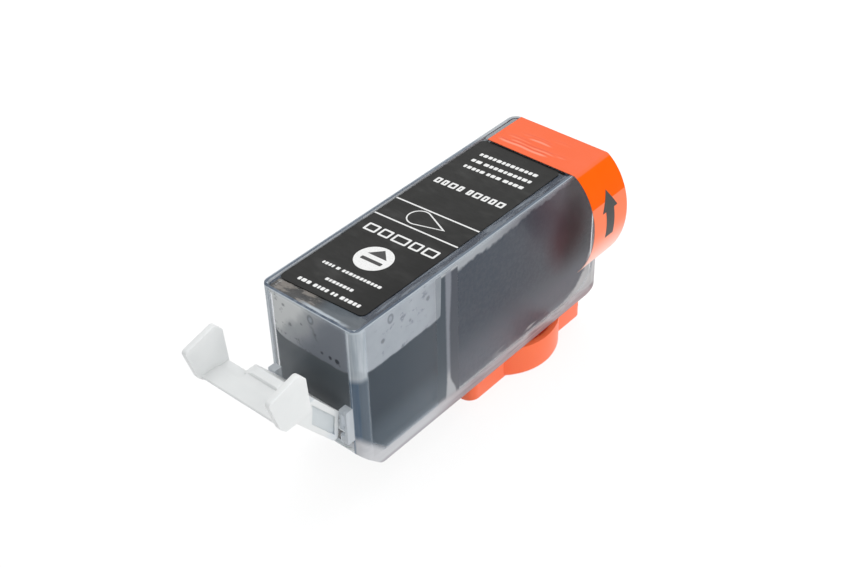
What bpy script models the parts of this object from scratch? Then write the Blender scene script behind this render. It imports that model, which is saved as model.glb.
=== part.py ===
"""An inkjet ink cartridge: a clear plastic tank with a free-ink chamber in front and a foam chamber behind,
a welded lid with a label, an orange pull tape over the vent, a sprung latch lever in front, a contact chip
on the slanted front edge and an orange push-on cap over the ink outlet.

Sizes are in metres. +Z is up and the front, with the lever, looks along -Y. The origin is on the axis of
the ink outlet, at the flat underside of the cap that the cartridge stands on."""

import math

import bmesh
import bpy
from mathutils import Matrix, Vector

MM = 0.001

# Tank
BODY_WIDTH = 24.5 * MM
BODY_LENGTH = 77.5 * MM
BODY_HEIGHT = 35.8 * MM
BODY_CORNER = 2.2 * MM
OUTLET_FROM_BACK = 20.2 * MM
WALL = 1.2 * MM
FLOOR = 1.2 * MM
CHIP_SLOPE = 5.1 * MM
CHIP_WALL = 3.1 * MM
CHIN_RADIUS = 2.4 * MM
HEEL_RADIUS = 4.5 * MM
CHAMBER_FILLET = 3.0 * MM
PARTITION_FROM_FRONT = 24.7 * MM
PARTITION = 2.2 * MM
PASSAGE_WIDTH = 7.0 * MM
PASSAGE_HEIGHT = 2.4 * MM
PRISM_FROM_FRONT = 15.0 * MM
PRISM_WIDTH = 8.0 * MM
PRISM_HEIGHT = 2.6 * MM

# Ink outlet
PORT_RADIUS = 6.6 * MM
PORT_WALL = 1.4 * MM
PORT_DROP = 4.0 * MM
PORT_RISE = 1.0 * MM
WICK_INSET = 0.7 * MM
FILTER = 0.25 * MM

# Lid
RIM_WALL = 0.75 * MM
LID = 1.2 * MM
LID_RECESS = 0.45 * MM
LID_RIB_DEPTH = 1.2 * MM
LID_RIB = 1.0 * MM
LID_RIBS = 4
VENT_FIELD = 12.0 * MM
VENT_GROOVE = 0.7 * MM
VENT_DEPTH = 0.35 * MM
VENT_TURNS = 5
VENT_HOLE = 0.42 * MM
FILL_HOLE = 1.6 * MM
FILL_FRONT_FROM_FRONT = 12.5 * MM
FILL_REAR_FROM_FRONT = 48.0 * MM

# What the tank holds
INK_LEVEL = 23.7 * MM
FOAM_SPLIT = 16.5 * MM
FOAM_CORNER = 8.0 * MM

# Label and pull tape
LABEL_LEFT_MARGIN = 1.1 * MM
LABEL_RIGHT_MARGIN = 2.8 * MM
LABEL_FRONT = 3.9 * MM
LABEL_SKEW = 1.2 * MM
LABEL_CORNER = 1.2 * MM
LABEL_FILM = 0.2 * MM
TAPE_FILM = 0.3 * MM
TAPE_INSET = 2.1 * MM
TAPE_BACK = 0.15 * MM
LOOP_DROP = 24.0 * MM
LOOP_END = 2.5 * MM
LOOP_OUT_WAY = (0.81, -0.59)
LOOP_OUT_PULL = 7.93 * MM
LOOP_IN_WAY = (0.6, 0.8)
LOOP_IN_PULL = 9.45 * MM

# Latch lever
LEVER_WIDTH = 22.6 * MM
EAR = 1.2 * MM
EAR_PROUD = 0.15 * MM
TRAY = 1.1 * MM
TRAY_TOP = 26.0 * MM
TRAY_REACH = 18.5 * MM
TRAY_BACK = 11.1 * MM
TRAY_STEP = 0.45 * MM
TRAY_STEP_WIDTH = 5.8 * MM
TRAY_STEP_LENGTH = 2.8 * MM
EAR_HEIGHT = 9.1 * MM
EAR_LEAN = 2.2 * MM
EAR_CREST = 5.4 * MM
EAR_FRONT_DROP = 1.9 * MM
EAR_BACK_DROP = 1.8 * MM
EAR_BACK_LEAN = 0.5 * MM
EAR_BELLY = 0.1 * MM
EAR_ROUND = 0.8 * MM
EAR_CROWN = 1.2 * MM
LEVER_EDGE = 0.5 * MM
LEVER_EDGE_FINE = 0.35 * MM
ARM_WIDTH = 15.2 * MM
ARM_WEB = 1.3 * MM
ARM_CEILING = 1.8 * MM
ARM_FOOT = 8.0 * MM
ARM_HEAD = 15.5 * MM
ARM_HEAD_OUT = 1.0 * MM
ARM_FOOT_OUT = 2.0 * MM
ARM_BEHIND_TRAY = 1.73 * MM
ARM_TOP = 26.6 * MM
ARM_CORNER = 6.0 * MM
PANEL_DEPTH = 0.45 * MM
PANEL_MARGIN = 1.2 * MM
PANEL_BAND = (0.22, 0.80)
PANEL_REACH = 0.74
TONGUE = 1.9 * MM
TONGUE_ROOT = 1.2 * MM
PIVOT_HEIGHT = 11.6 * MM
PIVOT_OUT = 0.95 * MM
PIVOT_RADIUS = 0.55 * MM
PIN_REACH = 1.05 * MM
HUB_OUT = 2.4 * MM

# Guide lugs beside the lever
LUG_OUT = 1.9 * MM
LUG_WIDTH = 1.9 * MM
LUG_FOOT = 9.0 * MM
LUG_TOP = 17.1 * MM
LUG_SLOT = 0.85 * MM
LUG_SLOT_FOOT = 12.9 * MM
LUG_BACKING = 0.5 * MM

# Outlet cap
CAP_HEIGHT = 8.8 * MM
CAP_WALL = 1.3 * MM
CUP_RADIUS = 13.3 * MM
CUP_GAP = 1.1 * MM
CUP_EDGE = 0.9 * MM
WING_WIDTH = 18.0 * MM
WING_FRONT = 21.9 * MM
WING_REAR = 18.8 * MM
WING_CORNER = 2.6 * MM
WING_REAR_CORNER = 1.6 * MM
WING_BOW = 1.3 * MM
WING_BOW_RADIUS = 10.3 * MM
SEAL_SEAT = 7.6 * MM
SEAL_HEIGHT = 2.9 * MM

# Contact chip
CHIP_WIDTH = 12.0 * MM
CHIP_LENGTH = 5.4 * MM
CHIP_BOARD = 0.6 * MM
CHIP_POCKET = 0.8 * MM
PAD_WIDTH = 1.7 * MM
PAD_LENGTH = 1.7 * MM
PAD_FILM = 0.06 * MM
PADS_PER_ROW = 4
DIE = 2.4 * MM
DIE_HEIGHT = 0.5 * MM

# Clearances
FIT = 0.15 * MM
FILM_FIT = 0.03 * MM
LID_FIT = 0.2 * MM
CAP_FIT = 0.3 * MM
LEVER_FIT = 0.9 * MM
OVER = 2.0 * MM

LEAST_ROUND = 0.3 * MM
ARC_STEPS = 6
ROUND_STEPS = 64
LOOP_STEPS = 24

# Derived places
BACK = OUTLET_FROM_BACK
FRONT = BACK - BODY_LENGTH
BASE = CAP_HEIGHT
TOP = BASE + BODY_HEIGHT
HALF = BODY_WIDTH / 2
INNER = HALF - WALL
SLOPE_SUM = CHIP_SLOPE + CHIP_WALL * math.sqrt(2)
LID_TOP = TOP - LID_RECESS
LID_BOTTOM = LID_TOP - LID
FOAM_TOP = LID_BOTTOM - LID_RIB_DEPTH - FIT
PARTITION_FRONT = FRONT + PARTITION_FROM_FRONT
PARTITION_BACK = PARTITION_FRONT + PARTITION
VENT_FRONT = BACK - VENT_FIELD
PORT_BOTTOM = BASE - PORT_DROP
PORT_TOP = BASE + FLOOR + PORT_RISE
PORT_BORE = PORT_RADIUS - PORT_WALL

for leftover in list(bpy.data.objects):
    bpy.data.objects.remove(leftover)


def collection(name):
    made = bpy.data.collections.new(name)
    bpy.context.scene.collection.children.link(made)
    return made


PARTS = collection("ink_cartridge")
CUTTERS = collection("cutters")


def material(name, colour, roughness, metallic=0.0, transmission=0.0):
    made = bpy.data.materials.new(name)
    made.use_nodes = True
    shader = made.node_tree.nodes["Principled BSDF"]
    shader.inputs["Base Color"].default_value = (*colour, 1)
    shader.inputs["Roughness"].default_value = roughness
    shader.inputs["Metallic"].default_value = metallic
    shader.inputs["Transmission Weight"].default_value = transmission
    return made


CLEAR = material("clear_plastic", (0.62, 0.68, 0.74), 0.12, transmission=0.8)
ORANGE = material("orange_plastic", (0.95, 0.16, 0.04), 0.35)
TAPE = material("orange_tape", (0.98, 0.20, 0.03), 0.3)
MILKY = material("milky_plastic", (0.80, 0.82, 0.82), 0.3)
LABEL_BLACK = material("label_black", (0.03, 0.03, 0.03), 0.35)
INK = material("ink", (0.02, 0.022, 0.026), 0.1)
FOAM = material("soaked_foam", (0.05, 0.05, 0.055), 0.9)
FIBRE = material("wick_fibre", (0.06, 0.06, 0.06), 0.95)
RUBBER = material("seal_rubber", (0.12, 0.12, 0.12), 0.6)
STEEL = material("filter_mesh", (0.5, 0.5, 0.5), 0.4, metallic=1.0)
BOARD = material("circuit_board", (0.02, 0.14, 0.06), 0.4)
GOLD = material("gold", (0.9, 0.62, 0.2), 0.25, metallic=1.0)
RESIN = material("chip_resin", (0.02, 0.02, 0.02), 0.4)
GLUE = material("adhesive", (0.75, 0.72, 0.6), 0.7)


def is_node(obj, shade):
    """Puts a finished piece in the object's own collection, with its material."""
    PARTS.objects.link(obj)
    CUTTERS.objects.unlink(obj)
    obj.hide_render = False
    obj.display_type = "TEXTURED"
    obj.data.materials.clear()
    obj.data.materials.append(shade)
    obj.data.shade_smooth()
    obj.data.set_sharp_from_angle(angle=math.radians(35))
    return obj


def helper(name, mesh, place=None):
    """A hidden shape that a later Boolean uses, or that becomes a node."""
    obj = bpy.data.objects.new(name, mesh)
    CUTTERS.objects.link(obj)
    obj.hide_render = True
    obj.display_type = "WIRE"
    if place is not None:
        obj.matrix_world = place
    return obj


def boolean(obj, other, operation):
    """Cuts, joins or intersects the first shape with the second and keeps the result as its mesh."""
    modifier = obj.modifiers.new(operation.lower(), "BOOLEAN")
    modifier.operation = operation
    modifier.object = other
    modifier.solver = "EXACT"
    bpy.context.view_layer.update()
    evaluated = obj.evaluated_get(bpy.context.evaluated_depsgraph_get())
    mesh = bpy.data.meshes.new_from_object(evaluated)
    obj.modifiers.clear()
    obj.data = mesh
    bpy.data.objects.remove(other)
    return obj


def cut(obj, other):
    return boolean(obj, other, "DIFFERENCE")


def join(obj, other):
    return boolean(obj, other, "UNION")


def meet(obj, other):
    return boolean(obj, other, "INTERSECT")


def rounded(corners, steps=ARC_STEPS):
    """An outline of (a, b, radius) corners, each turned by an arc of its radius."""
    outline = []
    count = len(corners)
    for index, (a, b, radius) in enumerate(corners):
        here = Vector((a, b))
        if radius <= 0:
            outline.append(here)
            continue
        back = (Vector(corners[index - 1][:2]) - here).normalized()
        ahead = (Vector(corners[(index + 1) % count][:2]) - here).normalized()
        half_angle = math.acos(max(-1.0, min(1.0, back.dot(ahead)))) / 2
        centre = here + (back + ahead).normalized() * radius / math.sin(half_angle)
        start = here + back * radius / math.tan(half_angle) - centre
        end = here + ahead * radius / math.tan(half_angle) - centre
        turn = start.angle_signed(end)
        for step in range(steps + 1):
            spin = Matrix.Rotation(-turn * step / steps, 2)
            outline.append(centre + spin @ start)
    return outline


ALONG = {
    "X": Matrix(((0, 0, 1), (1, 0, 0), (0, 1, 0))),
    "Y": Matrix(((1, 0, 0), (0, 0, -1), (0, 1, 0))),
    "Z": Matrix.Identity(3),
}


def prism(name, outline, start, end, axis="Z"):
    """A flat outline extruded along an axis: (Y, Z) along X, (X, Z) along Y and (X, Y) along Z."""
    curve = bpy.data.curves.new(name, "CURVE")
    curve.dimensions = "2D"
    curve.fill_mode = "BOTH"
    curve.extrude = (end - start) / 2
    spline = curve.splines.new("POLY")
    spline.points.add(len(outline) - 1)
    for point, spot in zip(spline.points, outline):
        point.co = (spot[0], spot[1], 0, 1)
    spline.use_cyclic_u = True
    flat = bpy.data.objects.new(name, curve)
    CUTTERS.objects.link(flat)
    bpy.context.view_layer.update()
    graph = bpy.context.evaluated_depsgraph_get()
    mesh = bpy.data.meshes.new_from_object(flat.evaluated_get(graph))
    bpy.data.objects.remove(flat)
    work = bmesh.new()
    work.from_mesh(mesh)
    bmesh.ops.remove_doubles(work, verts=work.verts, dist=1e-7)
    shift = {"X": (1, 0, 0), "Y": (0, 1, 0), "Z": (0, 0, 1)}[axis]
    place = Matrix.Translation(Vector(shift) * (start + end) / 2) @ ALONG[axis].to_4x4()
    bmesh.ops.transform(work, matrix=place, verts=work.verts)
    bmesh.ops.recalc_face_normals(work, faces=work.faces)
    work.to_mesh(mesh)
    work.free()
    return helper(name, mesh)


def box(name, low, high):
    mesh = bpy.data.meshes.new(name)
    work = bmesh.new()
    bmesh.ops.create_cube(work, size=1)
    size = [b - a for a, b in zip(low, high)]
    middle = [(a + b) / 2 for a, b in zip(low, high)]
    bmesh.ops.scale(work, vec=size, verts=work.verts)
    bmesh.ops.translate(work, vec=middle, verts=work.verts)
    work.to_mesh(mesh)
    work.free()
    return helper(name, mesh)


def rod(name, radius, start, end, axis="Z", centre=(0, 0, 0), sides=ROUND_STEPS):
    """A round bar from start to end along an axis through the centre."""
    mesh = bpy.data.meshes.new(name)
    work = bmesh.new()
    bmesh.ops.create_cone(
        work,
        cap_ends=True,
        cap_tris=False,
        segments=sides,
        radius1=radius,
        radius2=radius,
        depth=end - start,
    )
    bmesh.ops.translate(work, vec=(0, 0, (start + end) / 2), verts=work.verts)
    bmesh.ops.transform(work, matrix=ALONG[axis].to_4x4(), verts=work.verts)
    bmesh.ops.translate(work, vec=centre, verts=work.verts)
    bmesh.ops.recalc_face_normals(work, faces=work.faces)
    work.to_mesh(mesh)
    work.free()
    return helper(name, mesh)


def turned(name, profile, sides=ROUND_STEPS):
    """A profile of (radius, height) points, from the top to the underside, turned about the outlet's axis."""
    mesh = bpy.data.meshes.new(name)
    mesh.from_pydata([(r, 0, z) for r, z in profile], [(i, i + 1) for i in range(len(profile) - 1)], [])
    obj = helper(name, mesh)
    screw = obj.modifiers.new("turn", "SCREW")
    screw.steps = sides
    screw.render_steps = sides
    screw.use_merge_vertices = True
    screw.merge_threshold = 1e-6
    bpy.context.view_layer.update()
    graph = bpy.context.evaluated_depsgraph_get()
    made = bpy.data.meshes.new_from_object(obj.evaluated_get(graph))
    obj.modifiers.clear()
    obj.data = made
    return obj


def plan(half_width, front, back, radius):
    """A rounded rectangle seen from above."""
    corners = ((-half_width, front), (half_width, front), (half_width, back), (-half_width, back))
    return rounded([(x, y, radius) for x, y in corners])


def ribbon(path, width):
    """The outline of a line of even width that turns through the path's points."""
    left, right = [], []
    for index, spot in enumerate(path):
        here = Vector(spot)
        before = (here - Vector(path[max(index - 1, 0)])).normalized()
        after = (Vector(path[min(index + 1, len(path) - 1)]) - here).normalized()
        if before.length == 0:
            before = after
        if after.length == 0:
            after = before
        across = Vector((-(before + after).y, (before + after).x)).normalized()
        reach = width / 2 / max(0.3, across.dot(Vector((-before.y, before.x))))
        left.append(here + across * reach)
        right.append(here - across * reach)
    return left + right[::-1]


def chamber(name, front, back, front_side, inset, top, back_radius):
    """The space inside a chamber, or with an inset what fills it: a side outline met by a plan outline."""
    floor = BASE + FLOOR + inset
    rise = max(CHAMBER_FILLET - inset, LEAST_ROUND)
    side = [(back, top, 0), (front, top, 0)]
    if front_side:
        sum_in = SLOPE_SUM + inset * math.sqrt(2)
        side += [
            (front, BASE + sum_in - (front - FRONT), 0),
            (FRONT + sum_in - (floor - BASE), floor, 0),
        ]
    else:
        side += [(front, floor, rise)]
    side += [(back, floor, back_radius)]
    corner = max(BODY_CORNER - WALL - inset, LEAST_ROUND)
    above = plan(INNER - inset, front, back, corner)
    whole = prism(name, rounded(side), -HALF, HALF, "X")
    return meet(whole, prism(name + "_plan", above, BASE - OVER, TOP + OVER))


# Tank: outer form
tank = prism(
    "tank_body",
    rounded(
        [
            (FRONT, TOP, 0),
            (FRONT, BASE + CHIP_SLOPE, 0),
            (FRONT + CHIP_SLOPE, BASE, CHIN_RADIUS),
            (BACK, BASE, HEEL_RADIUS),
            (BACK, TOP, 0),
        ]
    ),
    -HALF - OVER,
    HALF + OVER,
    "X",
)
meet(tank, prism("tank_plan", plan(HALF, FRONT, BACK, BODY_CORNER), BASE - OVER, TOP + OVER))

# Tank: chambers, lid seat and the passage under the partition
cut(tank, chamber("front_space", FRONT + WALL, PARTITION_FRONT, True, 0, TOP + OVER, CHAMBER_FILLET))
cut(tank, chamber("rear_space", PARTITION_BACK, BACK - WALL, False, 0, TOP + OVER, HEEL_RADIUS - WALL))
seat = plan(HALF - RIM_WALL, FRONT + RIM_WALL, BACK - RIM_WALL, BODY_CORNER - RIM_WALL)
cut(tank, prism("lid_seat", seat, LID_BOTTOM - FIT, TOP + OVER))
cut(
    tank,
    box(
        "passage",
        (-PASSAGE_WIDTH / 2, PARTITION_FRONT - CHAMBER_FILLET, BASE + FLOOR),
        (PASSAGE_WIDTH / 2, PARTITION_BACK + CHAMBER_FILLET, BASE + FLOOR + PASSAGE_HEIGHT),
    ),
)

# Tank: prism on the floor of the front chamber, where the printer looks for ink
prism_middle = FRONT + PRISM_FROM_FRONT
join(
    tank,
    prism(
        "ink_prism",
        [
            (prism_middle - PRISM_HEIGHT, BASE + FLOOR - WALL / 2),
            (prism_middle + PRISM_HEIGHT, BASE + FLOOR - WALL / 2),
            (prism_middle, BASE + FLOOR + PRISM_HEIGHT),
        ],
        -PRISM_WIDTH / 2,
        PRISM_WIDTH / 2,
        "X",
    ),
)

# Tank: outlet port, a tube through the floor with a raised seat for the filter
join(tank, rod("port", PORT_RADIUS, PORT_BOTTOM, PORT_TOP))
cut(tank, rod("port_bore", PORT_BORE, PORT_BOTTOM - OVER, PORT_TOP + OVER))

# Tank: guide lugs on both sides of the lever, with a window and a notch that the lever's pin snaps into
arm_half = ARM_WIDTH / 2
lug_inner = arm_half + LEVER_FIT
lug_outer = lug_inner + LUG_WIDTH
pin_end = lug_inner + PIN_REACH
lug_top = BASE + LUG_TOP
for side in (-1, 1):
    lug = box(
        "lug",
        (min(side * lug_inner, side * lug_outer), FRONT - LUG_OUT, BASE + LUG_FOOT),
        (max(side * lug_inner, side * lug_outer), FRONT + WALL / 2, lug_top),
    )
    notch_low = BASE + PIVOT_HEIGHT - PIVOT_RADIUS - FIT
    notch_high = BASE + PIVOT_HEIGHT + PIVOT_RADIUS + FIT
    notch = sorted((side * (lug_inner - OVER), side * (pin_end + FIT)))
    notch_front = FRONT - LUG_OUT - OVER
    cut(lug, box("notch", (notch[0], notch_front, notch_low), (notch[1], FRONT - FIT, notch_high)))
    slot_middle = side * (lug_inner + lug_outer) / 2
    cut(
        lug,
        box(
            "slot",
            (slot_middle - LUG_SLOT / 2, FRONT - LUG_OUT - OVER, BASE + LUG_SLOT_FOOT),
            (slot_middle + LUG_SLOT / 2, FRONT - LUG_BACKING, lug_top - LUG_SLOT),
        ),
    )
    join(tank, lug)


# Chip: every piece of it lies on the slanted front edge
def on_slope(width, length, start, end, name, across=0.0, along=0.0):
    """A flat block on the slope, from one height over the slope to another."""
    mesh = bpy.data.meshes.new(name)
    work = bmesh.new()
    bmesh.ops.create_cube(work, size=1)
    bmesh.ops.scale(work, vec=(width, length, end - start), verts=work.verts)
    bmesh.ops.translate(work, vec=(across, along, (start + end) / 2), verts=work.verts)
    work.to_mesh(mesh)
    work.free()
    middle = Matrix.Translation((0, FRONT + CHIP_SLOPE / 2, BASE + CHIP_SLOPE / 2))
    return helper(name, mesh, middle @ Matrix.Rotation(math.radians(135), 4, "X"))


cut(tank, on_slope(CHIP_WIDTH + 2 * FIT, CHIP_LENGTH + 2 * FIT, -CHIP_POCKET, OVER, "chip_pocket"))
cut(tank, on_slope(DIE + 4 * FIT, DIE + 4 * FIT, -CHIP_POCKET - DIE_HEIGHT - FIT, OVER, "die_pocket"))
is_node(tank, CLEAR)

glue_top = -CHIP_POCKET + FILM_FIT + FIT
board_top = glue_top + FILM_FIT + CHIP_BOARD
glue_size = (CHIP_WIDTH - 2 * FIT, CHIP_LENGTH - 2 * FIT)
glue = on_slope(*glue_size, -CHIP_POCKET + FILM_FIT, glue_top, "chip_adhesive")
cut(glue, on_slope(DIE + 2 * FIT, DIE + 2 * FIT, -CHIP_POCKET - OVER, OVER, "glue_window"))
is_node(glue, GLUE)
is_node(on_slope(CHIP_WIDTH, CHIP_LENGTH, glue_top + FILM_FIT, board_top, "chip_board"), BOARD)
is_node(on_slope(DIE, DIE, glue_top - DIE_HEIGHT, glue_top, "chip_die"), RESIN)
pad_pitch = (CHIP_WIDTH - PAD_WIDTH) / PADS_PER_ROW
row_pitch = CHIP_LENGTH / 2 - 2 * FIT
for row in (-1, 1):
    for column in range(PADS_PER_ROW):
        number = column + 1 + (PADS_PER_ROW if row > 0 else 0)
        across = (column - (PADS_PER_ROW - 1) / 2) * pad_pitch + row * PAD_WIDTH / 4
        pad = on_slope(
            PAD_WIDTH,
            PAD_LENGTH,
            board_top + FILM_FIT,
            board_top + FILM_FIT + PAD_FILM,
            f"chip_contact_{number}",
            across,
            row * row_pitch / 2,
        )
        is_node(pad, GOLD)

# Ink in the front chamber, up to its level and clear of the prism
ink_ends = (FRONT + WALL + FIT, PARTITION_FRONT - FIT)
ink = chamber("ink_fill", *ink_ends, True, FIT, BASE + INK_LEVEL, CHAMBER_FILLET - FIT)
cut(
    ink,
    prism(
        "prism_room",
        [
            (prism_middle - PRISM_HEIGHT - 3 * FIT, BASE + FLOOR - WALL / 2),
            (prism_middle + PRISM_HEIGHT + 3 * FIT, BASE + FLOOR - WALL / 2),
            (prism_middle, BASE + FLOOR + PRISM_HEIGHT + 3 * FIT),
        ],
        -PRISM_WIDTH / 2 - FIT,
        PRISM_WIDTH / 2 + FIT,
        "X",
    ),
)
is_node(ink, INK)

# Foam in the rear chamber, in two blocks, the lower one let out round the port
foam_split = BASE + FOAM_SPLIT
foam_front = PARTITION_BACK + FIT
foam_back = BACK - WALL - FIT
lower_foam = chamber("lower_foam", foam_front, foam_back, False, FIT, foam_split, FOAM_CORNER)
cut(lower_foam, rod("port_room", PORT_RADIUS + 2 * FIT, BASE, PORT_TOP + FILTER + 2 * FIT))
is_node(lower_foam, FOAM)
upper_foam = prism(
    "upper_foam",
    plan(INNER - FIT, foam_front, foam_back, max(BODY_CORNER - WALL - FIT, LEAST_ROUND)),
    foam_split + FIT,
    FOAM_TOP,
)
is_node(upper_foam, FOAM)

# Wick and filter in the outlet
is_node(rod("outlet_wick", PORT_BORE - FIT, PORT_BOTTOM + WICK_INSET, PORT_TOP - FIT), FIBRE)
is_node(rod("outlet_filter", PORT_RADIUS - FIT, PORT_TOP + FILM_FIT, PORT_TOP + FILM_FIT + FILTER), STEEL)

# Lid: a plate in the tank's seat, a raised field for the vent groove, ribs over the foam and two fill holes
lid_half = HALF - RIM_WALL - LID_FIT
lid_front = FRONT + RIM_WALL + LID_FIT
lid_back = BACK - RIM_WALL - LID_FIT
lid_corner = BODY_CORNER - RIM_WALL - LID_FIT
lid = prism("top_lid", plan(lid_half, lid_front, lid_back, lid_corner), LID_BOTTOM, LID_TOP)
vent_plan = plan(lid_half - FIT, VENT_FRONT, lid_back - FIT, lid_corner - FIT)
join(lid, prism("vent_field", vent_plan, LID_TOP - LID / 2, TOP))
rib_pitch = 2 * INNER / LID_RIBS
for index in range(LID_RIBS):
    middle = (index - (LID_RIBS - 1) / 2) * rib_pitch
    join(
        lid,
        box(
            "lid_rib",
            (middle - LID_RIB / 2, PARTITION_BACK + WALL, FOAM_TOP + FIT),
            (middle + LID_RIB / 2, BACK - WALL - BODY_CORNER, LID_TOP - LID / 2),
        ),
    )
join(
    lid,
    box(
        "cross_rib",
        (-INNER + WALL, (PARTITION_BACK + BACK) / 2 - LID_RIB / 2, FOAM_TOP + 2 * FIT),
        (INNER - WALL, (PARTITION_BACK + BACK) / 2 + LID_RIB / 2, LID_TOP - LID / 2),
    ),
)
vent_reach = lid_half - 4 * VENT_GROOVE
vent_step = (VENT_FIELD - 6 * VENT_GROOVE) / VENT_TURNS
vent_path = []
for turn in range(VENT_TURNS + 1):
    row = VENT_FRONT + 3 * VENT_GROOVE + turn * vent_step
    ends = (-vent_reach, vent_reach) if turn % 2 else (vent_reach, -vent_reach)
    vent_path += [(ends[0], row), (ends[1], row)]
cut(lid, prism("vent_groove", ribbon(vent_path, VENT_GROOVE), TOP - VENT_DEPTH, TOP + OVER))
cut(lid, rod("vent_hole", VENT_HOLE, FOAM_TOP, TOP + OVER, centre=(*vent_path[0], 0), sides=16))
fill_spots = {
    "fill_plug_front": FRONT + FILL_FRONT_FROM_FRONT,
    "fill_plug_rear": FRONT + FILL_REAR_FROM_FRONT,
}
for name, spot in fill_spots.items():
    cut(lid, rod("fill_hole", FILL_HOLE, LID_BOTTOM - OVER, LID_TOP + OVER, centre=(0, spot, 0), sides=32))
is_node(lid, CLEAR)
for name, spot in fill_spots.items():
    plug = rod(name, FILL_HOLE - FIT, LID_BOTTOM, LID_TOP - FILM_FIT, centre=(0, spot, 0), sides=32)
    is_node(plug, MILKY)

# Label: a film on the lid, stuck on a little to the left, with its front edge askew
label_left = -HALF + LABEL_LEFT_MARGIN
label_right = HALF - LABEL_RIGHT_MARGIN
label = prism(
    "label",
    rounded(
        [
            (label_left, FRONT + LABEL_FRONT, LABEL_CORNER),
            (label_right, FRONT + LABEL_FRONT + LABEL_SKEW, LABEL_CORNER),
            (label_right, VENT_FRONT - FIT, LABEL_CORNER),
            (label_left, VENT_FRONT - FIT, LABEL_CORNER),
        ]
    ),
    LID_TOP + FILM_FIT,
    LID_TOP + FILM_FIT + LABEL_FILM,
)
is_node(label, LABEL_BLACK)


# Pull tape: a strip over the vent field that leaves the right edge in a loose loop
def bezier(a, b, c, d, steps):
    """Points on a cubic curve, without its last one."""
    spots = []
    for step in range(steps):
        t = step / steps
        u = 1 - t
        spots.append(a * u**3 + b * 3 * t * u * u + c * 3 * t * t * u + d * t**3)
    return spots


tape_level = TOP + FILM_FIT + TAPE_FILM / 2
loop_start = Vector((HALF + 3 * TAPE_FILM, tape_level - TAPE_FILM))
loop_end = Vector((HALF + LOOP_END, tape_level - LOOP_DROP))
loop_out = Vector(LOOP_OUT_WAY).normalized()
loop_in = Vector(LOOP_IN_WAY).normalized()
tape_line = [Vector((-HALF + TAPE_INSET, tape_level)), Vector((0, tape_level))]
tape_line += bezier(
    Vector((HALF - 2 * TAPE_FILM, tape_level)),
    Vector((HALF + TAPE_FILM, tape_level)),
    loop_start - loop_out * 2 * TAPE_FILM,
    loop_start,
    4,
)
tape_line += bezier(
    loop_start,
    loop_start + loop_out * LOOP_OUT_PULL,
    loop_end + loop_in * LOOP_IN_PULL,
    loop_end,
    LOOP_STEPS,
)
tape_line.append(loop_end)
tape_mesh = bpy.data.meshes.new("pull_tab")
tape_edges = (VENT_FRONT + FIT, BACK - TAPE_BACK)
tape_mesh.from_pydata(
    [(spot.x, edge, spot.y) for spot in tape_line for edge in tape_edges],
    [],
    [(2 * i, 2 * i + 2, 2 * i + 3, 2 * i + 1) for i in range(len(tape_line) - 1)],
)
tape = helper("pull_tab", tape_mesh)
skin = tape.modifiers.new("film", "SOLIDIFY")
skin.thickness = TAPE_FILM
skin.offset = 0
is_node(tape, TAPE)

# Latch lever: two ears on a thumb tray, carried by a slanting channel arm that pivots between the lugs
lever_half = LEVER_WIDTH / 2
tray_low = BASE + TRAY_TOP - TRAY
tray_high = BASE + TRAY_TOP
tray_front = FRONT - TRAY_REACH
tray_back = FRONT - TRAY_BACK
ear_top = tray_high + EAR_HEIGHT
lever = prism(
    "latch_lever",
    rounded(
        [
            (tray_front + TRAY + EAR_PROUD, tray_low, LEVER_EDGE),
            (tray_front + EAR_PROUD, tray_high, LEVER_EDGE_FINE),
            (tray_back - EAR_PROUD, tray_high, 0),
            (tray_back - EAR_PROUD, tray_low, 0),
        ]
    ),
    -lever_half + EAR / 2,
    lever_half - EAR / 2,
    "X",
)
ear_outline = rounded(
    [
        (tray_front + TRAY, tray_low - EAR_PROUD, LEVER_EDGE),
        (tray_front - EAR_BELLY, tray_high, EAR_ROUND),
        (tray_front - EAR_LEAN, ear_top - EAR_FRONT_DROP, EAR_ROUND),
        (tray_front + EAR_CREST, ear_top, EAR_CROWN),
        (tray_back - EAR_BACK_LEAN, ear_top - EAR_BACK_DROP, EAR_ROUND),
        (tray_back, tray_high, LEVER_EDGE_FINE),
        (tray_back, tray_low - EAR_PROUD, LEVER_EDGE_FINE),
    ]
)
for side in (-1, 1):
    pocket = sorted((side * (lever_half + OVER), side * (lever_half - EAR - TRAY_STEP_WIDTH)))
    cut(
        lever,
        box(
            "tray_step",
            (pocket[0], tray_back - TRAY_STEP_LENGTH, tray_high - TRAY_STEP),
            (pocket[1], tray_back + OVER, ear_top),
        ),
    )
for side in (-1, 1):
    ends = sorted((side * (lever_half - EAR), side * lever_half))
    join(lever, prism("ear", ear_outline, ends[0], ends[1], "X"))

# Lever: arm, a slanting band from its foot at the tank to the tray, with a round-cornered tongue at the top
head = Vector((FRONT - ARM_HEAD_OUT, BASE + ARM_HEAD))
foot = Vector((FRONT - ARM_FOOT_OUT, BASE + ARM_FOOT))
arm_slant = Vector((tray_back + ARM_BEHIND_TRAY, tray_high)) - head
root_level = tray_low + (TRAY - TRAY_STEP) / 2
head_end = head + arm_slant * ((BASE + ARM_TOP - head.y) / arm_slant.y)
foot_end = foot + arm_slant * ((root_level - foot.y) / arm_slant.y)
arm_outline = [
    (*head, LEVER_EDGE),
    (*head_end, LEVER_EDGE_FINE),
    (head_end.x - TONGUE, head_end.y, LEVER_EDGE_FINE),
    (tray_back - TONGUE_ROOT, root_level, 0),
    (*foot_end, 0),
    (*foot, EAR_ROUND),
]
arm = prism("arm", rounded(arm_outline), -arm_half - OVER, arm_half + OVER, "X")
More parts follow.
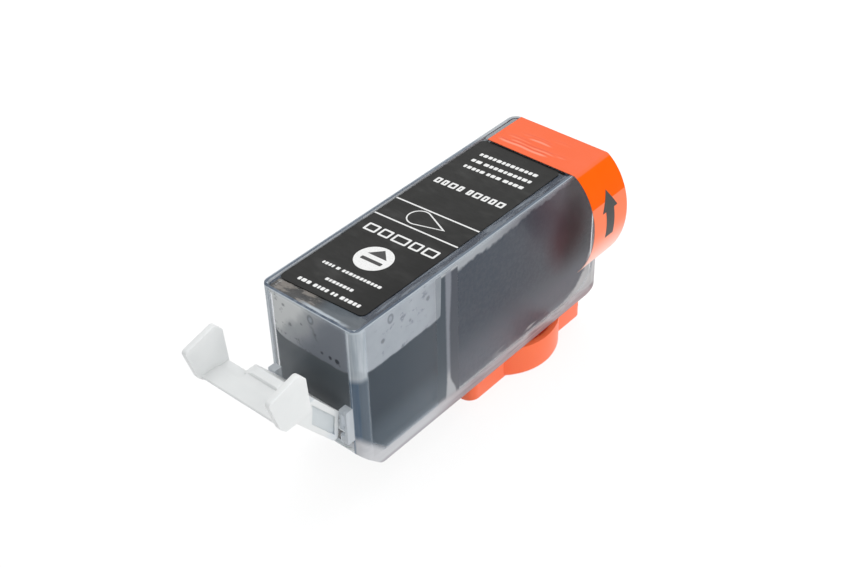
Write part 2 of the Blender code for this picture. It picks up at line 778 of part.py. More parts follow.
arm_front = [
    (-arm_half, BASE, 0),
    (arm_half, BASE, 0),
    (arm_half, BASE + ARM_TOP + FIT, ARM_CORNER),
    (-arm_half, BASE + ARM_TOP + FIT, ARM_CORNER),
]
meet(arm, prism("arm_front", rounded(arm_front), tray_front, FRONT + OVER, "Y"))
down_slant = Vector((-arm_slant.y, arm_slant.x)).normalized()
band = foot - head
ceiling = band.normalized() * ARM_CEILING
inward = arm_slant.normalized() * ARM_WEB
hollow_end = head + arm_slant * ((tray_low - head.y) / arm_slant.y)
hollow = [
    head + ceiling + inward,
    hollow_end + ceiling,
    foot_end + down_slant * OVER,
    foot + down_slant * OVER + inward,
]
cut(arm, prism("arm_hollow", hollow, -arm_half + ARM_WEB, arm_half - ARM_WEB, "X"))
panel_ends = (arm_slant.normalized() * PANEL_MARGIN, arm_slant * PANEL_REACH)
panel = [
    head + band * PANEL_BAND[0] + panel_ends[0],
    head + band * PANEL_BAND[0] + panel_ends[1],
    head + band * PANEL_BAND[1] + panel_ends[1],
    head + band * PANEL_BAND[1] + panel_ends[0],
]
for side in (-1, 1):
    ends = sorted((side * (arm_half - PANEL_DEPTH), side * (arm_half + OVER)))
    cut(arm, prism("arm_panel", panel, ends[0], ends[1], "X"))
join(lever, arm)

# Lever: pivot pin with its hub
pivot = (0, FRONT - PIVOT_OUT, BASE + PIVOT_HEIGHT)
hub_reach = PIVOT_RADIUS + EAR_PROUD
hub_half = arm_half - (ARM_WEB + PANEL_DEPTH) / 2
hub = box(
    "hub",
    (-hub_half, FRONT - HUB_OUT, pivot[2] - hub_reach),
    (hub_half, pivot[1] + hub_reach, pivot[2] + hub_reach),
)
join(lever, hub)
join(lever, rod("pin", PIVOT_RADIUS, -pin_end, pin_end, "X", (0, pivot[1], pivot[2]), sides=24))
is_node(lever, MILKY)

# Outlet cap: a round cup under the outlet, with a hollow wing in front and behind to twist it off by
cup_top = CAP_HEIGHT - CUP_GAP
wing_top = CAP_HEIGHT - CAP_FIT
wing_half = WING_WIDTH / 2
wing_plan = [
    (-wing_half, -WING_FRONT + WING_BOW, WING_CORNER),
    (0, -WING_FRONT, WING_BOW_RADIUS),
    (wing_half, -WING_FRONT + WING_BOW, WING_CORNER),
    (wing_half, WING_REAR, WING_REAR_CORNER),
    (-wing_half, WING_REAR, WING_REAR_CORNER),
]
cap = prism("outlet_cap", rounded(wing_plan), 0, wing_top)
bevel = cap.modifiers.new("soft_edge", "BEVEL")
bevel.width = CUP_EDGE / 2
bevel.segments = 2
bevel.limit_method = "ANGLE"
bevel.angle_limit = math.radians(60)
trough_half = wing_half - CAP_WALL
trough_front = -WING_FRONT + WING_BOW + CAP_WALL
trough_plan = [
    (-trough_half, trough_front, WING_CORNER - CAP_WALL),
    (trough_half, trough_front, WING_CORNER - CAP_WALL),
    (trough_half, WING_REAR - CAP_WALL, LEAST_ROUND),
    (-trough_half, WING_REAR - CAP_WALL, LEAST_ROUND),
]
cut(cap, prism("trough", rounded(trough_plan), CAP_WALL, wing_top + OVER))
rib = CAP_WALL / 2
join(cap, box("wing_rib", (-rib, rib - WING_FRONT, rib), (rib, WING_REAR - rib, wing_top - CAP_WALL)))
cut(cap, rod("cup_room", CUP_RADIUS - CAP_WALL / 2, -OVER, wing_top + OVER))
cup_inner = CUP_RADIUS - CAP_WALL
edge = [
    (CUP_RADIUS - CUP_EDGE + CUP_EDGE * math.cos(a), CUP_EDGE - CUP_EDGE * math.sin(a))
    for a in [math.radians(90 * step / ARC_STEPS) for step in range(ARC_STEPS + 1)]
]
cup_profile = [
    (0, CAP_WALL),
    (SEAL_SEAT, CAP_WALL),
    (SEAL_SEAT, CAP_WALL + SEAL_HEIGHT),
    (SEAL_SEAT + CAP_WALL, CAP_WALL + SEAL_HEIGHT),
    (SEAL_SEAT + CAP_WALL, CAP_WALL),
    (cup_inner, CAP_WALL),
    (cup_inner, cup_top),
    (CUP_RADIUS, cup_top),
    *edge,
    (0, 0),
]
join(cap, turned("cup", cup_profile))
is_node(cap, ORANGE)

# Seal in the cap: a rubber disc with a raised rim against the end of the port
seal_top = min(PORT_BOTTOM - FIT, CAP_WALL + SEAL_HEIGHT)
seal_profile = [
    (0, (CAP_WALL + seal_top) / 2),
    (PORT_BORE - 3 * FIT, (CAP_WALL + seal_top) / 2),
    (PORT_BORE, seal_top),
    (SEAL_SEAT - 2 * FIT, seal_top),
    (SEAL_SEAT - FIT, CAP_WALL + FILM_FIT),
    (0, CAP_WALL + FILM_FIT),
]
is_node(turned("cap_seal", seal_profile), RUBBER)

for spare in list(CUTTERS.objects):
    bpy.data.objects.remove(spare)
bpy.data.collections.remove(CUTTERS)
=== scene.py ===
"""Looks of an ink cartridge: a hazy clear tank over dark ink and foam, a black label with plain print,
an orange pull tape, a milky latch lever and an orange cap.

Lengths are in millimetres, but the places and sizes of camera, lamps and floor are in metres.
"""

import math

import bmesh
import bpy
from mathutils import Matrix, Vector, noise


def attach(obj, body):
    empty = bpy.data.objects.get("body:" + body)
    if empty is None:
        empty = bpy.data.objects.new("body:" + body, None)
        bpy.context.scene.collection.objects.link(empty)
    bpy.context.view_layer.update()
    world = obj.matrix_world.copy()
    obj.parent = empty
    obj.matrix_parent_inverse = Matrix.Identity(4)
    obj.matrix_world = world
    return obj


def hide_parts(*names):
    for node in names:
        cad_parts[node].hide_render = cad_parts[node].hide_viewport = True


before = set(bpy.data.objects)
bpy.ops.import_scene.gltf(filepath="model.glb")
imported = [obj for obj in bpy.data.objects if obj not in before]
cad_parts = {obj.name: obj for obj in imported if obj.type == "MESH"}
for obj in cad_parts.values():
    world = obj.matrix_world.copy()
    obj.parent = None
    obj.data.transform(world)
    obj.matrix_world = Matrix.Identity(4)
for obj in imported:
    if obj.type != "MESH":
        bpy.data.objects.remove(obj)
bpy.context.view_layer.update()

MM = 0.001

# The camera: lens and sensor, then its place in metres and its axes, from a fit of the tank's edges
LENS = 58.67
SENSOR = 36
CAMERA_PLACE = (0.14761, -0.18881, 0.20345)
CAMERA_RIGHT = (0.75638, 0.65367, -0.02453)
CAMERA_DOWN = (0.38858, -0.47917, -0.78702)
CAMERA_AHEAD = (-0.52621, 0.58576, -0.61644)

# Light and floor: each soft box has a name, a power in watts and a place, and all have one size and aim
LAMPS = [("overhead", 1.45, (-0.12, 0.10, 0.62)), ("fill", 2.0, (0.66, 0.10, 0.20))]
LAMP_SIZE = 0.5
LAMP_AIM = (0, -0.018, 0.02)
WORLD_LEVEL = 0.63
FLOOR_REACH = 6.0
FLOOR_FILM = 0.24
FLOOR_GLOW = 0.36

# The part's own sizes, as in its source
HALF = 12.25
FRONT = -57.3
BACK = 20.2
BASE = 8.8
TOP = 44.6
WALL = 1.2
INNER = HALF - WALL
PARTITION_FRONT = -32.6
PARTITION_BACK = -30.4
PARTITION = (PARTITION_FRONT + PARTITION_BACK) / 2
INK_LEVEL = 32.5
FOAM_TOP = 41.6
LID_TOP = 44.15
LABEL_TOP = 44.38
LABEL_LEFT, LABEL_RIGHT = -11.15, 9.45
LABEL_FRONT = -53.4
LABEL_SKEW = 1.2
CHIP_SLOPE = 5.1

# The patch of the outer skin over the partition, its pale seam, and how much further back the inner
# skin lies behind the seam in the photograph's view
JOINT_FRONT, JOINT_BACK = -35.2, -28.7
SEAM = -31.85
SEAM_PARALLAX = 1.34

# The wet walls' gloss, and the share of the haze that shadow, diffuse and glossy rays meet
WALL_SHINE = 0.08
INWARD_HAZE = 0.12

# How plainly a face has to point a way, as the normal's part along it, to count as a wall or as level
WALL_TURN = (0.5, 0.8)
LEVEL_TURN = (0.6, 0.85)

# The ink climbs this high in a corner, and less by this rate for each millimetre from it
CREEP_HEIGHT = 3.0
CREEP_RATE = -0.75

# Centres of the round lower corner at the back, as (y, z): the outer skin's and the foam's
HEEL_OUTSIDE = (9.8, 20.0)
HEEL_INSIDE = (7.0, 21.5)

# A reddish blot behind the side wall, towards the back: a painted reflection of the orange tape
TAPE_REFLECTION_PLACE = (INNER, 9.3, 30.0)
TAPE_REFLECTION_STRETCH = (1, 1.2, 0.95)

# Drops that hang on the inner walls: a dark outline round a pale middle
DROPS = [(-0.4, -56.1, 41.0), (11.05, -46.6, 41.2)]
DROP_STRETCH = (1, 1, 0.75)

# Specks on the inner walls: place, radius and darkness
SPECKS = [
    ((2.0, -56.1, 34.3), 0.22, 0.8),
    ((4.1, -56.1, 34.2), 0.30, 0.85),
    ((5.9, -56.1, 34.2), 0.45, 0.9),
    ((-7.5, -56.1, 41.0), 0.25, 0.6),
    ((-6.1, -56.1, 37.0), 0.35, 0.5),
    ((-3.0, -56.1, 38.6), 0.16, 0.5),
    ((0.6, -56.1, 37.9), 0.2, 0.35),
    ((11.05, -48.9, 37.3), 0.4, 0.5),
    ((11.05, -36.1, 39.5), 0.45, 0.45),
    ((11.05, -41.3, 37.5), 0.3, 0.35),
    ((-11.05, -44.0, 38.5), 0.4, 0.5),
    ((-11.05, -50.5, 36.8), 0.3, 0.5),
]

# Edges: points closer than this are welded (metres), faces that turn less are merged, and edges that
# turn more are rounded (degrees)
WELD = 2e-6
FLAT_TURN = 0.6
SHARP_TURN = 40

# The print leans a little across the label, as its front edge does. Its rows are counted from the
# tank's front: y, height, length of a block, and the words' left and right ends.
PRINT_SKEW = LABEL_SKEW / (LABEL_RIGHT - LABEL_LEFT)
PRINT_ROWS = [
    (60.9, 1.0, 0.9, [(-8.0, 6.4)]),
    (58.2, 1.0, 0.9, [(-8.1, -5.6), (-4.9, 6.8)]),
    (55.5, 1.0, 0.9, [(-8.0, -2.9), (-2.2, 1.2), (1.9, 6.8)]),
    (48.0, 1.9, 1.45, [(-9.3, -2.4), (-1.2, 7.8)]),
    (27.0, 2.5, 2.8, [(-9.4, 8.1)]),
    (13.0, 0.8, 0.62, [(-7.8, -5.0), (-4.4, -3.6), (-2.9, 6.4)]),
    (9.3, 0.8, 0.62, [(-3.7, 2.9)]),
    (6.5, 0.95, 0.75, [(-7.9, -4.9), (-4.1, -0.6), (0.2, 1.6), (2.4, 7.1)]),
]

# Print at least this tall is hollow, with strokes this wide
BIG_PRINT = 1.5
STROKE = 0.46

# Two long lines with the outline of a drop between them, and a disc with a triangle over a bar
LINES, LINE_HALF = (38.05, 31.47), 0.19
MARK_MIDDLE, MARK_TIP = (-2.9, 35.0), (4.1, 34.3)
MARK_RADIUS, MARK_HOLE = 2.55, 2.27
MARK_STEPS = 48
DISC_MIDDLE, DISC_RADIUS, DISC_STEPS = (-0.8, 19.3), 3.9, 72
DISC_TRIANGLE = [(-3.0, 20.1), (1.6, 20.1), (-0.7, 22.5)]
DISC_BAR = (-3.2, 1.8, 18.0, 18.9)
CORNER_STEPS = 4

# The tape: a film that runs over the lid, bends over the edge and hangs in a loop
TAPE_FILM = 0.3
TAPE_SINK = 0.08
TAPE_THIN = 0.10
TAPE_FRONT, TAPE_BACK = 8.35, 20.05
TAPE_LEFT, TAPE_EDGE = -10.15, HALF - 0.6
TAPE_ROWS = 44
TOP_STEPS, EDGE_STEPS, LOOP_STEPS = 60, 8, 90
LOOP_START = TOP_STEPS + EDGE_STEPS
LOOP_OUT, LOOP_OUT_PULL = (0.81, -0.59), 7.93
LOOP_BACK, LOOP_BACK_PULL = (0.6, 0.8), 9.45
LOOP_DROP = 24.0

# Ridges of the tape over the vent's winding groove: y, left and right ends, and height
RIDGES = [
    (10.6, -8.6, 3.6, 1.0),
    (11.7, -6.2, 4.6, 0.8),
    (12.9, -7.6, -1.5, 0.55),
    (14.4, -3.2, 2.2, 0.9),
    (15.1, -5.4, 1.6, 0.5),
    (12.2, 5.0, 8.6, 0.5),
    (16.6, 1.0, 6.0, 0.3),
]
RIDGE_WIDTH = 0.38
RIDGE_HEIGHT = 0.17

# The arrow on the loop: heights, half widths, its middle's y, and its two faces over the film's middle
ARROW_TIP, ARROW_TAIL = 40.2, 29.3
ARROW_SHOULDER = ARROW_TIP - 4.3
ARROW_HEAD, ARROW_STEM = 2.6, 1.4
ARROW_Y = 14.0
ARROW_FACES = (0.065, 0.09)
ARROW_STEPS = 40


# ---------------------------------------------------------------- camera, light and floor

def add_camera():
    """The photograph's view, looking down from the front right."""
    data = bpy.data.cameras.new("camera")
    data.sensor_width = SENSOR
    data.lens = LENS
    data.clip_start = 0.01
    data.clip_end = 20
    camera = bpy.data.objects.new("camera", data)
    bpy.context.scene.collection.objects.link(camera)
    up, back = -Vector(CAMERA_DOWN), -Vector(CAMERA_AHEAD)
    turn = Matrix((Vector(CAMERA_RIGHT), up, back)).transposed().to_4x4()
    camera.matrix_world = Matrix.Translation(CAMERA_PLACE) @ turn
    bpy.context.scene.camera = camera


def add_lamp(name, power, place):
    """A square soft box that looks at the part."""
    data = bpy.data.lights.new(name, "AREA")
    data.shape = "SQUARE"
    data.size = LAMP_SIZE
    data.energy = power
    lamp = bpy.data.objects.new(name, data)
    bpy.context.scene.collection.objects.link(lamp)
    lamp.location = place
    lamp.rotation_euler = (Vector(LAMP_AIM) - Vector(place)).to_track_quat("-Z", "Y").to_euler()


def add_world():
    """White where a camera, glossy or transmission ray meets it, and a plain level for the light."""
    world = bpy.data.worlds.new("studio")
    bpy.context.scene.world = world
    world.use_nodes = True
    tree = world.node_tree
    tree.nodes.clear()
    out = tree.nodes.new("ShaderNodeOutputWorld")
    seen = tree.nodes.new("ShaderNodeBackground")
    light = tree.nodes.new("ShaderNodeBackground")
    seen.inputs["Color"].default_value = (1, 1, 1, 1)
    light.inputs["Color"].default_value = (0.98, 0.99, 1, 1)
    light.inputs["Strength"].default_value = WORLD_LEVEL
    pick = tree.nodes.new("ShaderNodeMixShader")
    tree.links.new(plain_rays(tree), pick.inputs[0])
    tree.links.new(light.outputs[0], pick.inputs[1])
    tree.links.new(seen.outputs[0], pick.inputs[2])
    tree.links.new(pick.outputs[0], out.inputs[0])


def plain_rays(tree):
    """1 for a camera, glossy or transmission ray, so that gloss and glass show the background too."""
    path = tree.nodes.new("ShaderNodeLightPath")
    total = path.outputs["Is Camera Ray"]
    for kind in ("Is Glossy Ray", "Is Transmission Ray"):
        most = tree.nodes.new("ShaderNodeMath")
        most.operation = "MAXIMUM"
        tree.links.new(total, most.inputs[0])
        tree.links.new(path.outputs[kind], most.inputs[1])
        total = most.outputs[0]
    return total


def add_floor():
    """A white floor that keeps a faint shadow, thin enough to show the cap where it slides off below it."""
    mesh = bpy.data.meshes.new("floor")
    corners = [(x * FLOOR_REACH, y * FLOOR_REACH, 0) for x, y in ((-1, -1), (1, -1), (1, 1), (-1, 1))]
    mesh.from_pydata(corners, [], [(0, 1, 2, 3)])
    floor = bpy.data.objects.new("floor", mesh)
    bpy.context.scene.collection.objects.link(floor)
    made = bpy.data.materials.new("floor_white")
    made.use_nodes = True
    tree = made.node_tree
    tree.nodes.clear()
    out = tree.nodes.new("ShaderNodeOutputMaterial")
    plain = tree.nodes.new("ShaderNodeBsdfDiffuse")
    plain.inputs["Color"].default_value = (0.8, 0.8, 0.8, 1)
    faint = tree.nodes.new("ShaderNodeBsdfDiffuse")
    faint.inputs["Color"].default_value = (0.95, 0.95, 0.95, 1)
    glow = tree.nodes.new("ShaderNodeEmission")
    glow.inputs["Strength"].default_value = FLOOR_GLOW
    both = tree.nodes.new("ShaderNodeAddShader")
    through = tree.nodes.new("ShaderNodeBsdfTransparent")
    film = tree.nodes.new("ShaderNodeMixShader")
    film.inputs[0].default_value = FLOOR_FILM
    pick = tree.nodes.new("ShaderNodeMixShader")
    tree.links.new(faint.outputs[0], both.inputs[0])
    tree.links.new(glow.outputs[0], both.inputs[1])
    tree.links.new(through.outputs[0], film.inputs[1])
    tree.links.new(both.outputs[0], film.inputs[2])
    tree.links.new(plain_rays(tree), pick.inputs[0])
    tree.links.new(plain.outputs[0], pick.inputs[1])
    tree.links.new(film.outputs[0], pick.inputs[2])
    tree.links.new(pick.outputs[0], out.inputs[0])
    made.cycles.emission_sampling = "NONE"
    mesh.materials.append(made)


add_camera()
add_world()
for lamp in LAMPS:
    add_lamp(*lamp)
add_floor()
bpy.context.scene.view_settings.view_transform = "Standard"


# ---------------------------------------------------------------- materials

class Shade:
    """A material's nodes. x, y and z are the place on the part at rest, in millimetres."""

    def __init__(self, name):
        self.material = bpy.data.materials.new(name)
        self.material.use_nodes = True
        self.tree = self.material.node_tree
        self.tree.nodes.clear()
        self.out = self.node("ShaderNodeOutputMaterial")
        start = self.node("ShaderNodeTexCoord").outputs["Object"]
        self.place = self.vector("MULTIPLY", start, (1000, 1000, 1000))
        self.x, self.y, self.z = self.split(self.place)

    def node(self, kind, **options):
        made = self.tree.nodes.new(kind)
        for key, value in options.items():
            setattr(made, key, value)
        return made

    def put(self, socket, value):
        if isinstance(value, bpy.types.NodeSocket):
            self.tree.links.new(value, socket)
        elif value is not None:
            if hasattr(socket.default_value, "__len__") and hasattr(value, "__len__"):
                value = tuple(value) + (1,) * (len(socket.default_value) - len(value))
            socket.default_value = value

    def split(self, value):
        made = self.node("ShaderNodeSeparateXYZ")
        self.put(made.inputs[0], value)
        return made.outputs

    def vector(self, what, a, b):
        made = self.node("ShaderNodeVectorMath", operation=what)
        self.put(made.inputs[0], a)
        self.put(made.inputs[1], b)
        return made.outputs["Value" if what == "DISTANCE" else "Vector"]

    def away(self, spot, stretch):
        """The distance from a spot, with each axis scaled by stretch."""
        spot = tuple(place * scale for place, scale in zip(spot, stretch))
        return self.vector("DISTANCE", self.vector("MULTIPLY", self.place, stretch), spot)

    def math(self, what, a, b=None):
        made = self.node("ShaderNodeMath", operation=what)
        self.put(made.inputs[0], a)
        self.put(made.inputs[1], b)
        return made.outputs[0]

    def minus(self, a, b):
        return self.math("SUBTRACT", a, b)

    def corner_reach(self, centre):
        """The distance from a centre in (y, z), counted backwards and downwards only."""
        back = self.most(self.minus(self.y, centre[0]), 0)
        down = self.most(self.minus(centre[1], self.z), 0)
        return self.math("SQRT", self.add(self.math("POWER", back, 2), self.math("POWER", down, 2)))

    def add(self, *values):
        total = values[0]
        for value in values[1:]:
            total = self.math("ADD", total, value)
        return total

    def times(self, *values):
        total = values[0]
        for value in values[1:]:
            total = self.math("MULTIPLY", total, value)
        return total

    def least(self, *values):
        total = values[0]
        for value in values[1:]:
            total = self.math("MINIMUM", total, value)
        return total

    def most(self, *values):
        total = values[0]
        for value in values[1:]:
            total = self.math("MAXIMUM", total, value)
        return total

    def ramp(self, value, low, high, start=0.0, end=1.0):
        """Start below low, end above high, and smooth between. Low may be above high."""
        made = self.node("ShaderNodeMapRange", interpolation_type="SMOOTHSTEP")
        for socket, given in zip(made.inputs, (value, low, high, start, end)):
            self.put(socket, given)
        return made.outputs[0]

    def band(self, value, low, high, soft):
        """1 between low and high, with soft ends."""
        return self.times(
            self.ramp(value, low - soft, low + soft), self.ramp(value, high + soft, high - soft)
        )

    def mix(self, share, a, b):
        made = self.node("ShaderNodeMix", data_type="RGBA")
        for index, value in ((0, share), (6, a), (7, b)):
            self.put(made.inputs[index], value)
        return made.outputs[2]

    def mix_number(self, share, a, b):
        made = self.node("ShaderNodeMix", data_type="FLOAT")
        for index, value in ((0, share), (2, a), (3, b)):
            self.put(made.inputs[index], value)
        return made.outputs[0]

    def noise(self, size, detail=2.0, rough=0.5, stretch=(1, 1, 1), shift=0.0):
        """Noise about 0.5 whose lumps are about size millimetres across."""
        made = self.node("ShaderNodeTexNoise")
        place = self.vector("MULTIPLY", self.place, tuple(1 / s for s in stretch))
        place = self.vector("ADD", place, (shift, shift * 1.7, shift * 0.6))
        self.put(made.inputs["Vector"], place)
        made.inputs["Scale"].default_value = 1 / size
        made.inputs["Detail"].default_value = detail
        made.inputs["Roughness"].default_value = rough
        return made.outputs[0]

    def bump(self, height, depth):
        """Turns a height from 0 to 1 into relief of that depth in millimetres."""
        made = self.node("ShaderNodeBump")
        made.inputs["Strength"].default_value = 1.0
        made.inputs["Distance"].default_value = depth * MM
        self.put(made.inputs["Height"], height)
        return made.outputs[0]

    def principled(self, **given):
        made = self.node("ShaderNodeBsdfPrincipled")
        for key, value in given.items():
            self.put(made.inputs[key.replace("_", " ")], value)
        return made.outputs[0]

    def blend(self, share, a, b):
        made = self.node("ShaderNodeMixShader")
        self.put(made.inputs[0], share)
        self.put(made.inputs[1], a)
        self.put(made.inputs[2], b)
        return made.outputs[0]

    def clear(self, tint=(1, 1, 1)):
        made = self.node("ShaderNodeBsdfTransparent")
        self.put(made.inputs[0], tint)
        return made.outputs[0]

    def normal(self):
        """The face's own direction, without its sign, as x, y and z."""
        start = self.node("ShaderNodeNewGeometry").outputs["Normal"]
        return self.split(self.vector("ABSOLUTE", start, (0, 0, 0)))

    def finish(self, shader):
        self.put(self.out.inputs["Surface"], shader)
        return self.material


def tank_outside():
    """The outer skin: a light haze, thick and bluish at the corners, pale and a little pink under the ink,
    with painted highlights at the corners and the rim and painted light at the front's foot.
    """
    s = Shade("clear_outside")
    nx, ny, nz = s.normal()
    wide = s.math("ABSOLUTE", s.x)
    to_side = s.minus(HALF, wide)
    to_front = s.minus(s.y, FRONT)
    to_back = s.minus(BACK, s.y)
    to_end = s.least(to_front, to_back)
    up = s.minus(s.z, BASE)
    mottle = s.noise(2.2, 3, 0.6)
    streak = s.noise(1.3, 2, 0.5, stretch=(1, 14, 1))
    upright = s.noise(1.1, 2, 0.5, stretch=(1, 1, 9), shift=3)
    fine = s.noise(0.6, 3, 0.7, shift=9)

    on_side = s.ramp(nx, *WALL_TURN)
    on_end = s.ramp(ny, *WALL_TURN)
    on_top = s.times(s.ramp(nz, *LEVEL_TURN), s.ramp(s.z, 44.3, 44.5))
    haze = s.times(s.minus(1, s.most(on_side, on_end)), 0.2)
    tone = s.mix(mottle, (0.47, 0.54, 0.62), (0.56, 0.64, 0.72))

    # The corners stand thick: pale over the air, bluish over the ink, and pale on the left throughout
    turn = s.minus(to_end, to_side)
    near = s.times(s.ramp(to_end, 3.0, 2.2), s.ramp(to_side, 2.6, 2.1))
    filled = s.times(s.ramp(s.z, INK_LEVEL + 1.2, INK_LEVEL - 0.6), s.ramp(s.x, -9, -8))
    deep = s.mix(s.ramp(upright, 0.3, 0.7), (0.052, 0.098, 0.158), (0.085, 0.135, 0.205))
    shallow = s.mix(upright, (0.085, 0.115, 0.150), (0.115, 0.150, 0.190))
    wet_tone = s.mix(s.ramp(turn, -0.3, 0.5), deep, shallow)
    dry_tone = s.mix(s.ramp(upright, 0.3, 0.7), (0.34, 0.39, 0.43), (0.54, 0.58, 0.62))
    tone = s.mix(near, tone, s.mix(filled, dry_tone, wet_tone))
    at_back = s.times(near, s.ramp(s.y, 15, 17))
    tone = s.mix(at_back, tone, s.mix(upright, (0.36, 0.365, 0.38), (0.52, 0.52, 0.53)))
    haze = s.add(s.times(near, 0.8), haze)

    # A pale line where each corner begins, fainter over the ink: a painted highlight
    line = s.times(near, s.band(turn, -2.05, -1.75, 0.12), s.ramp(fine, 0.3, 0.7, 0.5, 1.0))
    tone = s.mix(s.times(line, s.mix(filled, (1, 1, 1), (0.35, 0.35, 0.35))), tone, (0.62, 0.67, 0.72))
    haze = s.add(s.times(line, 0.2), haze)

    # Over the partition the skin carries the tones of the ink and the foam beside it, up to a pale seam
    joint = s.times(on_side, s.band(s.y, JOINT_FRONT, JOINT_BACK, 0.08))
    joint = s.times(joint, s.ramp(up, 35.2, 34.9), s.ramp(up, 2.4, 3.4))
    gap = s.minus(SEAM, s.y)
    level = s.add(INK_LEVEL + 1.3, ink_creep(s, s.most(gap, 0)))
    level = s.add(level, s.ramp(gap, 2.2, 1.4, 0, 12))
    above = s.times(s.ramp(gap, -0.1, 0.1), s.ramp(s.minus(s.z, level), -0.3, 0.35))
    beside_foam = s.mix(0.6, foam_tone(s), (0.105, 0.111, 0.128))
    beside_ink = s.mix(0.35, ink_tone(s), (0.115, 0.135, 0.155))
    joint_tone = s.mix(s.ramp(gap, -0.3, 0.3), beside_foam, beside_ink)
    joint_tone = s.mix(s.ramp(up, 34.2, 34.8), joint_tone, (0.42, 0.44, 0.46))
    joint_tone = s.mix(above, joint_tone, s.mix(mottle, (0.225, 0.247, 0.277), (0.295, 0.32, 0.345)))
    seam = s.math("ABSOLUTE", s.add(gap, s.times(fine, 0.3), -0.15))
    seam = s.minus(seam, s.times(s.ramp(up, 8.5, 3.2), s.ramp(gap, 0.3, -0.3, 0.35, 1.7)))
    seam = s.minus(seam, s.times(s.ramp(up, 20, 33), s.ramp(gap, 0.2, -0.2), 0.7))
    seam = s.times(s.ramp(seam, 0.85, 0.15), s.ramp(up, 10.5, 7.5, 0.8, 1.0))
    seam_tone = s.mix(s.ramp(up, 11.5, 8.0), (0.25, 0.265, 0.30), (0.42, 0.43, 0.45))
    joint_tone = s.mix(seam, joint_tone, seam_tone)
    tone = s.mix(s.ramp(joint, 0.0, 0.05), tone, joint_tone)
    haze = s.add(joint, haze)

    # The round lower corner at the back
    heel = s.times(on_side, s.ramp(s.add(s.corner_reach(HEEL_OUTSIDE), s.times(fine, 0.9)), 8.1, 9.5))
    tone = s.mix(heel, tone, s.mix(mottle, (0.34, 0.34, 0.35), (0.56, 0.55, 0.55)))
    haze = s.add(s.times(heel, 0.75), haze)

    # Under the ink the floor shows pale, with a trace of pink towards the cap
    line_low = s.add(3.1, s.ramp(s.y, -32, -28, 0, -0.6), s.ramp(s.y, -4, 6, 0, -0.4))
    slant = s.minus(9.4, to_front)
    line_low = s.most(line_low, s.least(slant, 9.0))
    ragged = s.add(s.noise(1.7, 3, 0.6, stretch=(1, 2.2, 1), shift=6), -0.5)
    ragged = s.times(ragged, s.ramp(s.y, -32, -24, 0.6, 3.2))
    low = s.ramp(s.minus(s.add(up, ragged, 0.4), line_low), s.ramp(s.y, -30, -22, 1.7, 1.1), -0.7)
    low = s.times(low, s.minus(1, s.times(on_end, s.ramp(wide, 10.6, 10.2))))
    pink = s.ramp(s.y, -40, -24)
    low_tone = s.mix(streak, (0.50, 0.51, 0.54), (0.66, 0.66, 0.68))
    low_tone = s.mix(s.ramp(up, 1.1, 0.5, 0, 0.7), low_tone, (0.36, 0.33, 0.37))
    low_pink = s.mix(s.ramp(streak, 0.3, 0.7), (0.21, 0.150, 0.170), (0.46, 0.39, 0.41))
    low_pink = s.mix(s.ramp(up, 1.6, 0.6, 0, 0.6), low_pink, (0.30, 0.19, 0.20))
    tone = s.mix(low, tone, s.mix(pink, low_tone, low_pink))
    haze = s.add(s.times(low, 0.85), haze)

    # The underside
    under = s.times(s.ramp(nz, *LEVEL_TURN), s.ramp(up, 0.4, 0.2))
    tone = s.mix(under, tone, (0.52, 0.51, 0.53))
    haze = s.add(s.times(under, 0.7), haze)

    # The slope at the foot of the front wall: painted light, pale though it lies in shade under the lever
    chip = s.times(s.band(nz, 0.5, 0.9, 0.05), s.ramp(to_front, 6.0, 5.5), s.ramp(up, 6.0, 5.5))
    tone = s.mix(chip, tone, (0.80, 0.83, 0.85))
    haze = s.add(s.times(chip, 0.4), haze)

    # Guide lugs beside the lever, with bluish slots
    lug = s.ramp(to_front, 0.0, -0.2)
    slot = s.times(s.band(to_side, 0.5, 1.35, 0.08), s.ramp(up, 12.2, 12.6))
    lug_tone = s.mix(upright, (0.42, 0.46, 0.50), (0.60, 0.63, 0.66))
    lug_tone = s.mix(slot, lug_tone, (0.19, 0.26, 0.34))
    tone = s.mix(lug, tone, lug_tone)
    haze = s.add(s.times(lug, 0.8), haze)

    # The rim: a dark blue band between two pale lines, which are painted highlights on its edges
    edge = s.least(to_side, to_end)
    rim_highlight = s.most(s.ramp(edge, 0.26, 0.16), s.ramp(edge, 0.86, 0.98))
    rim_tone = s.mix(s.ramp(streak, 0.38, 0.62), (0.045, 0.07, 0.11), (0.12, 0.155, 0.20))
    rim_tone = s.mix(rim_highlight, rim_tone, (0.40, 0.45, 0.50))
    far = s.times(s.ramp(s.y, 4.5, 9.0), s.ramp(s.x, 6, 4))
    rim_tone = s.mix(s.times(far, 0.8), rim_tone, (0.46, 0.49, 0.51))
    tone = s.mix(on_top, tone, rim_tone)
    haze = s.add(s.times(on_top, 0.85), haze)
    brow = s.ramp(s.z, 44.0, 44.35)
    tone = s.mix(s.times(brow, s.minus(1, on_top)), tone, (0.44, 0.49, 0.54))
    haze = s.add(s.times(brow, 0.3), haze)

    relief = s.bump(s.noise(9, 2, 0.4), 0.06)
    shine = s.mix_number(joint, 0.4, WALL_SHINE)
    body = s.principled(Base_Color=tone, Roughness=0.22, Specular_IOR_Level=shine, Normal=relief)

    # Light passes the haze on its way in, so that no patch of it darkens the inner wall around it
    haze = s.least(haze, s.add(s.times(joint, 0.1), 0.92), 1.0)
    path = s.node("ShaderNodeLightPath").outputs
    inward = s.most(path["Is Shadow Ray"], path["Is Diffuse Ray"], path["Is Glossy Ray"])
    haze = s.times(haze, s.mix_number(inward, 1.0, INWARD_HAZE))
    return s.finish(s.blend(haze, s.clear((0.97, 0.98, 0.99)), body))


def ink_creep(s, gap):
    """How far the ink stands above its level at that distance from a corner."""
    return s.times(s.math("EXPONENT", s.times(gap, CREEP_RATE)), CREEP_HEIGHT)


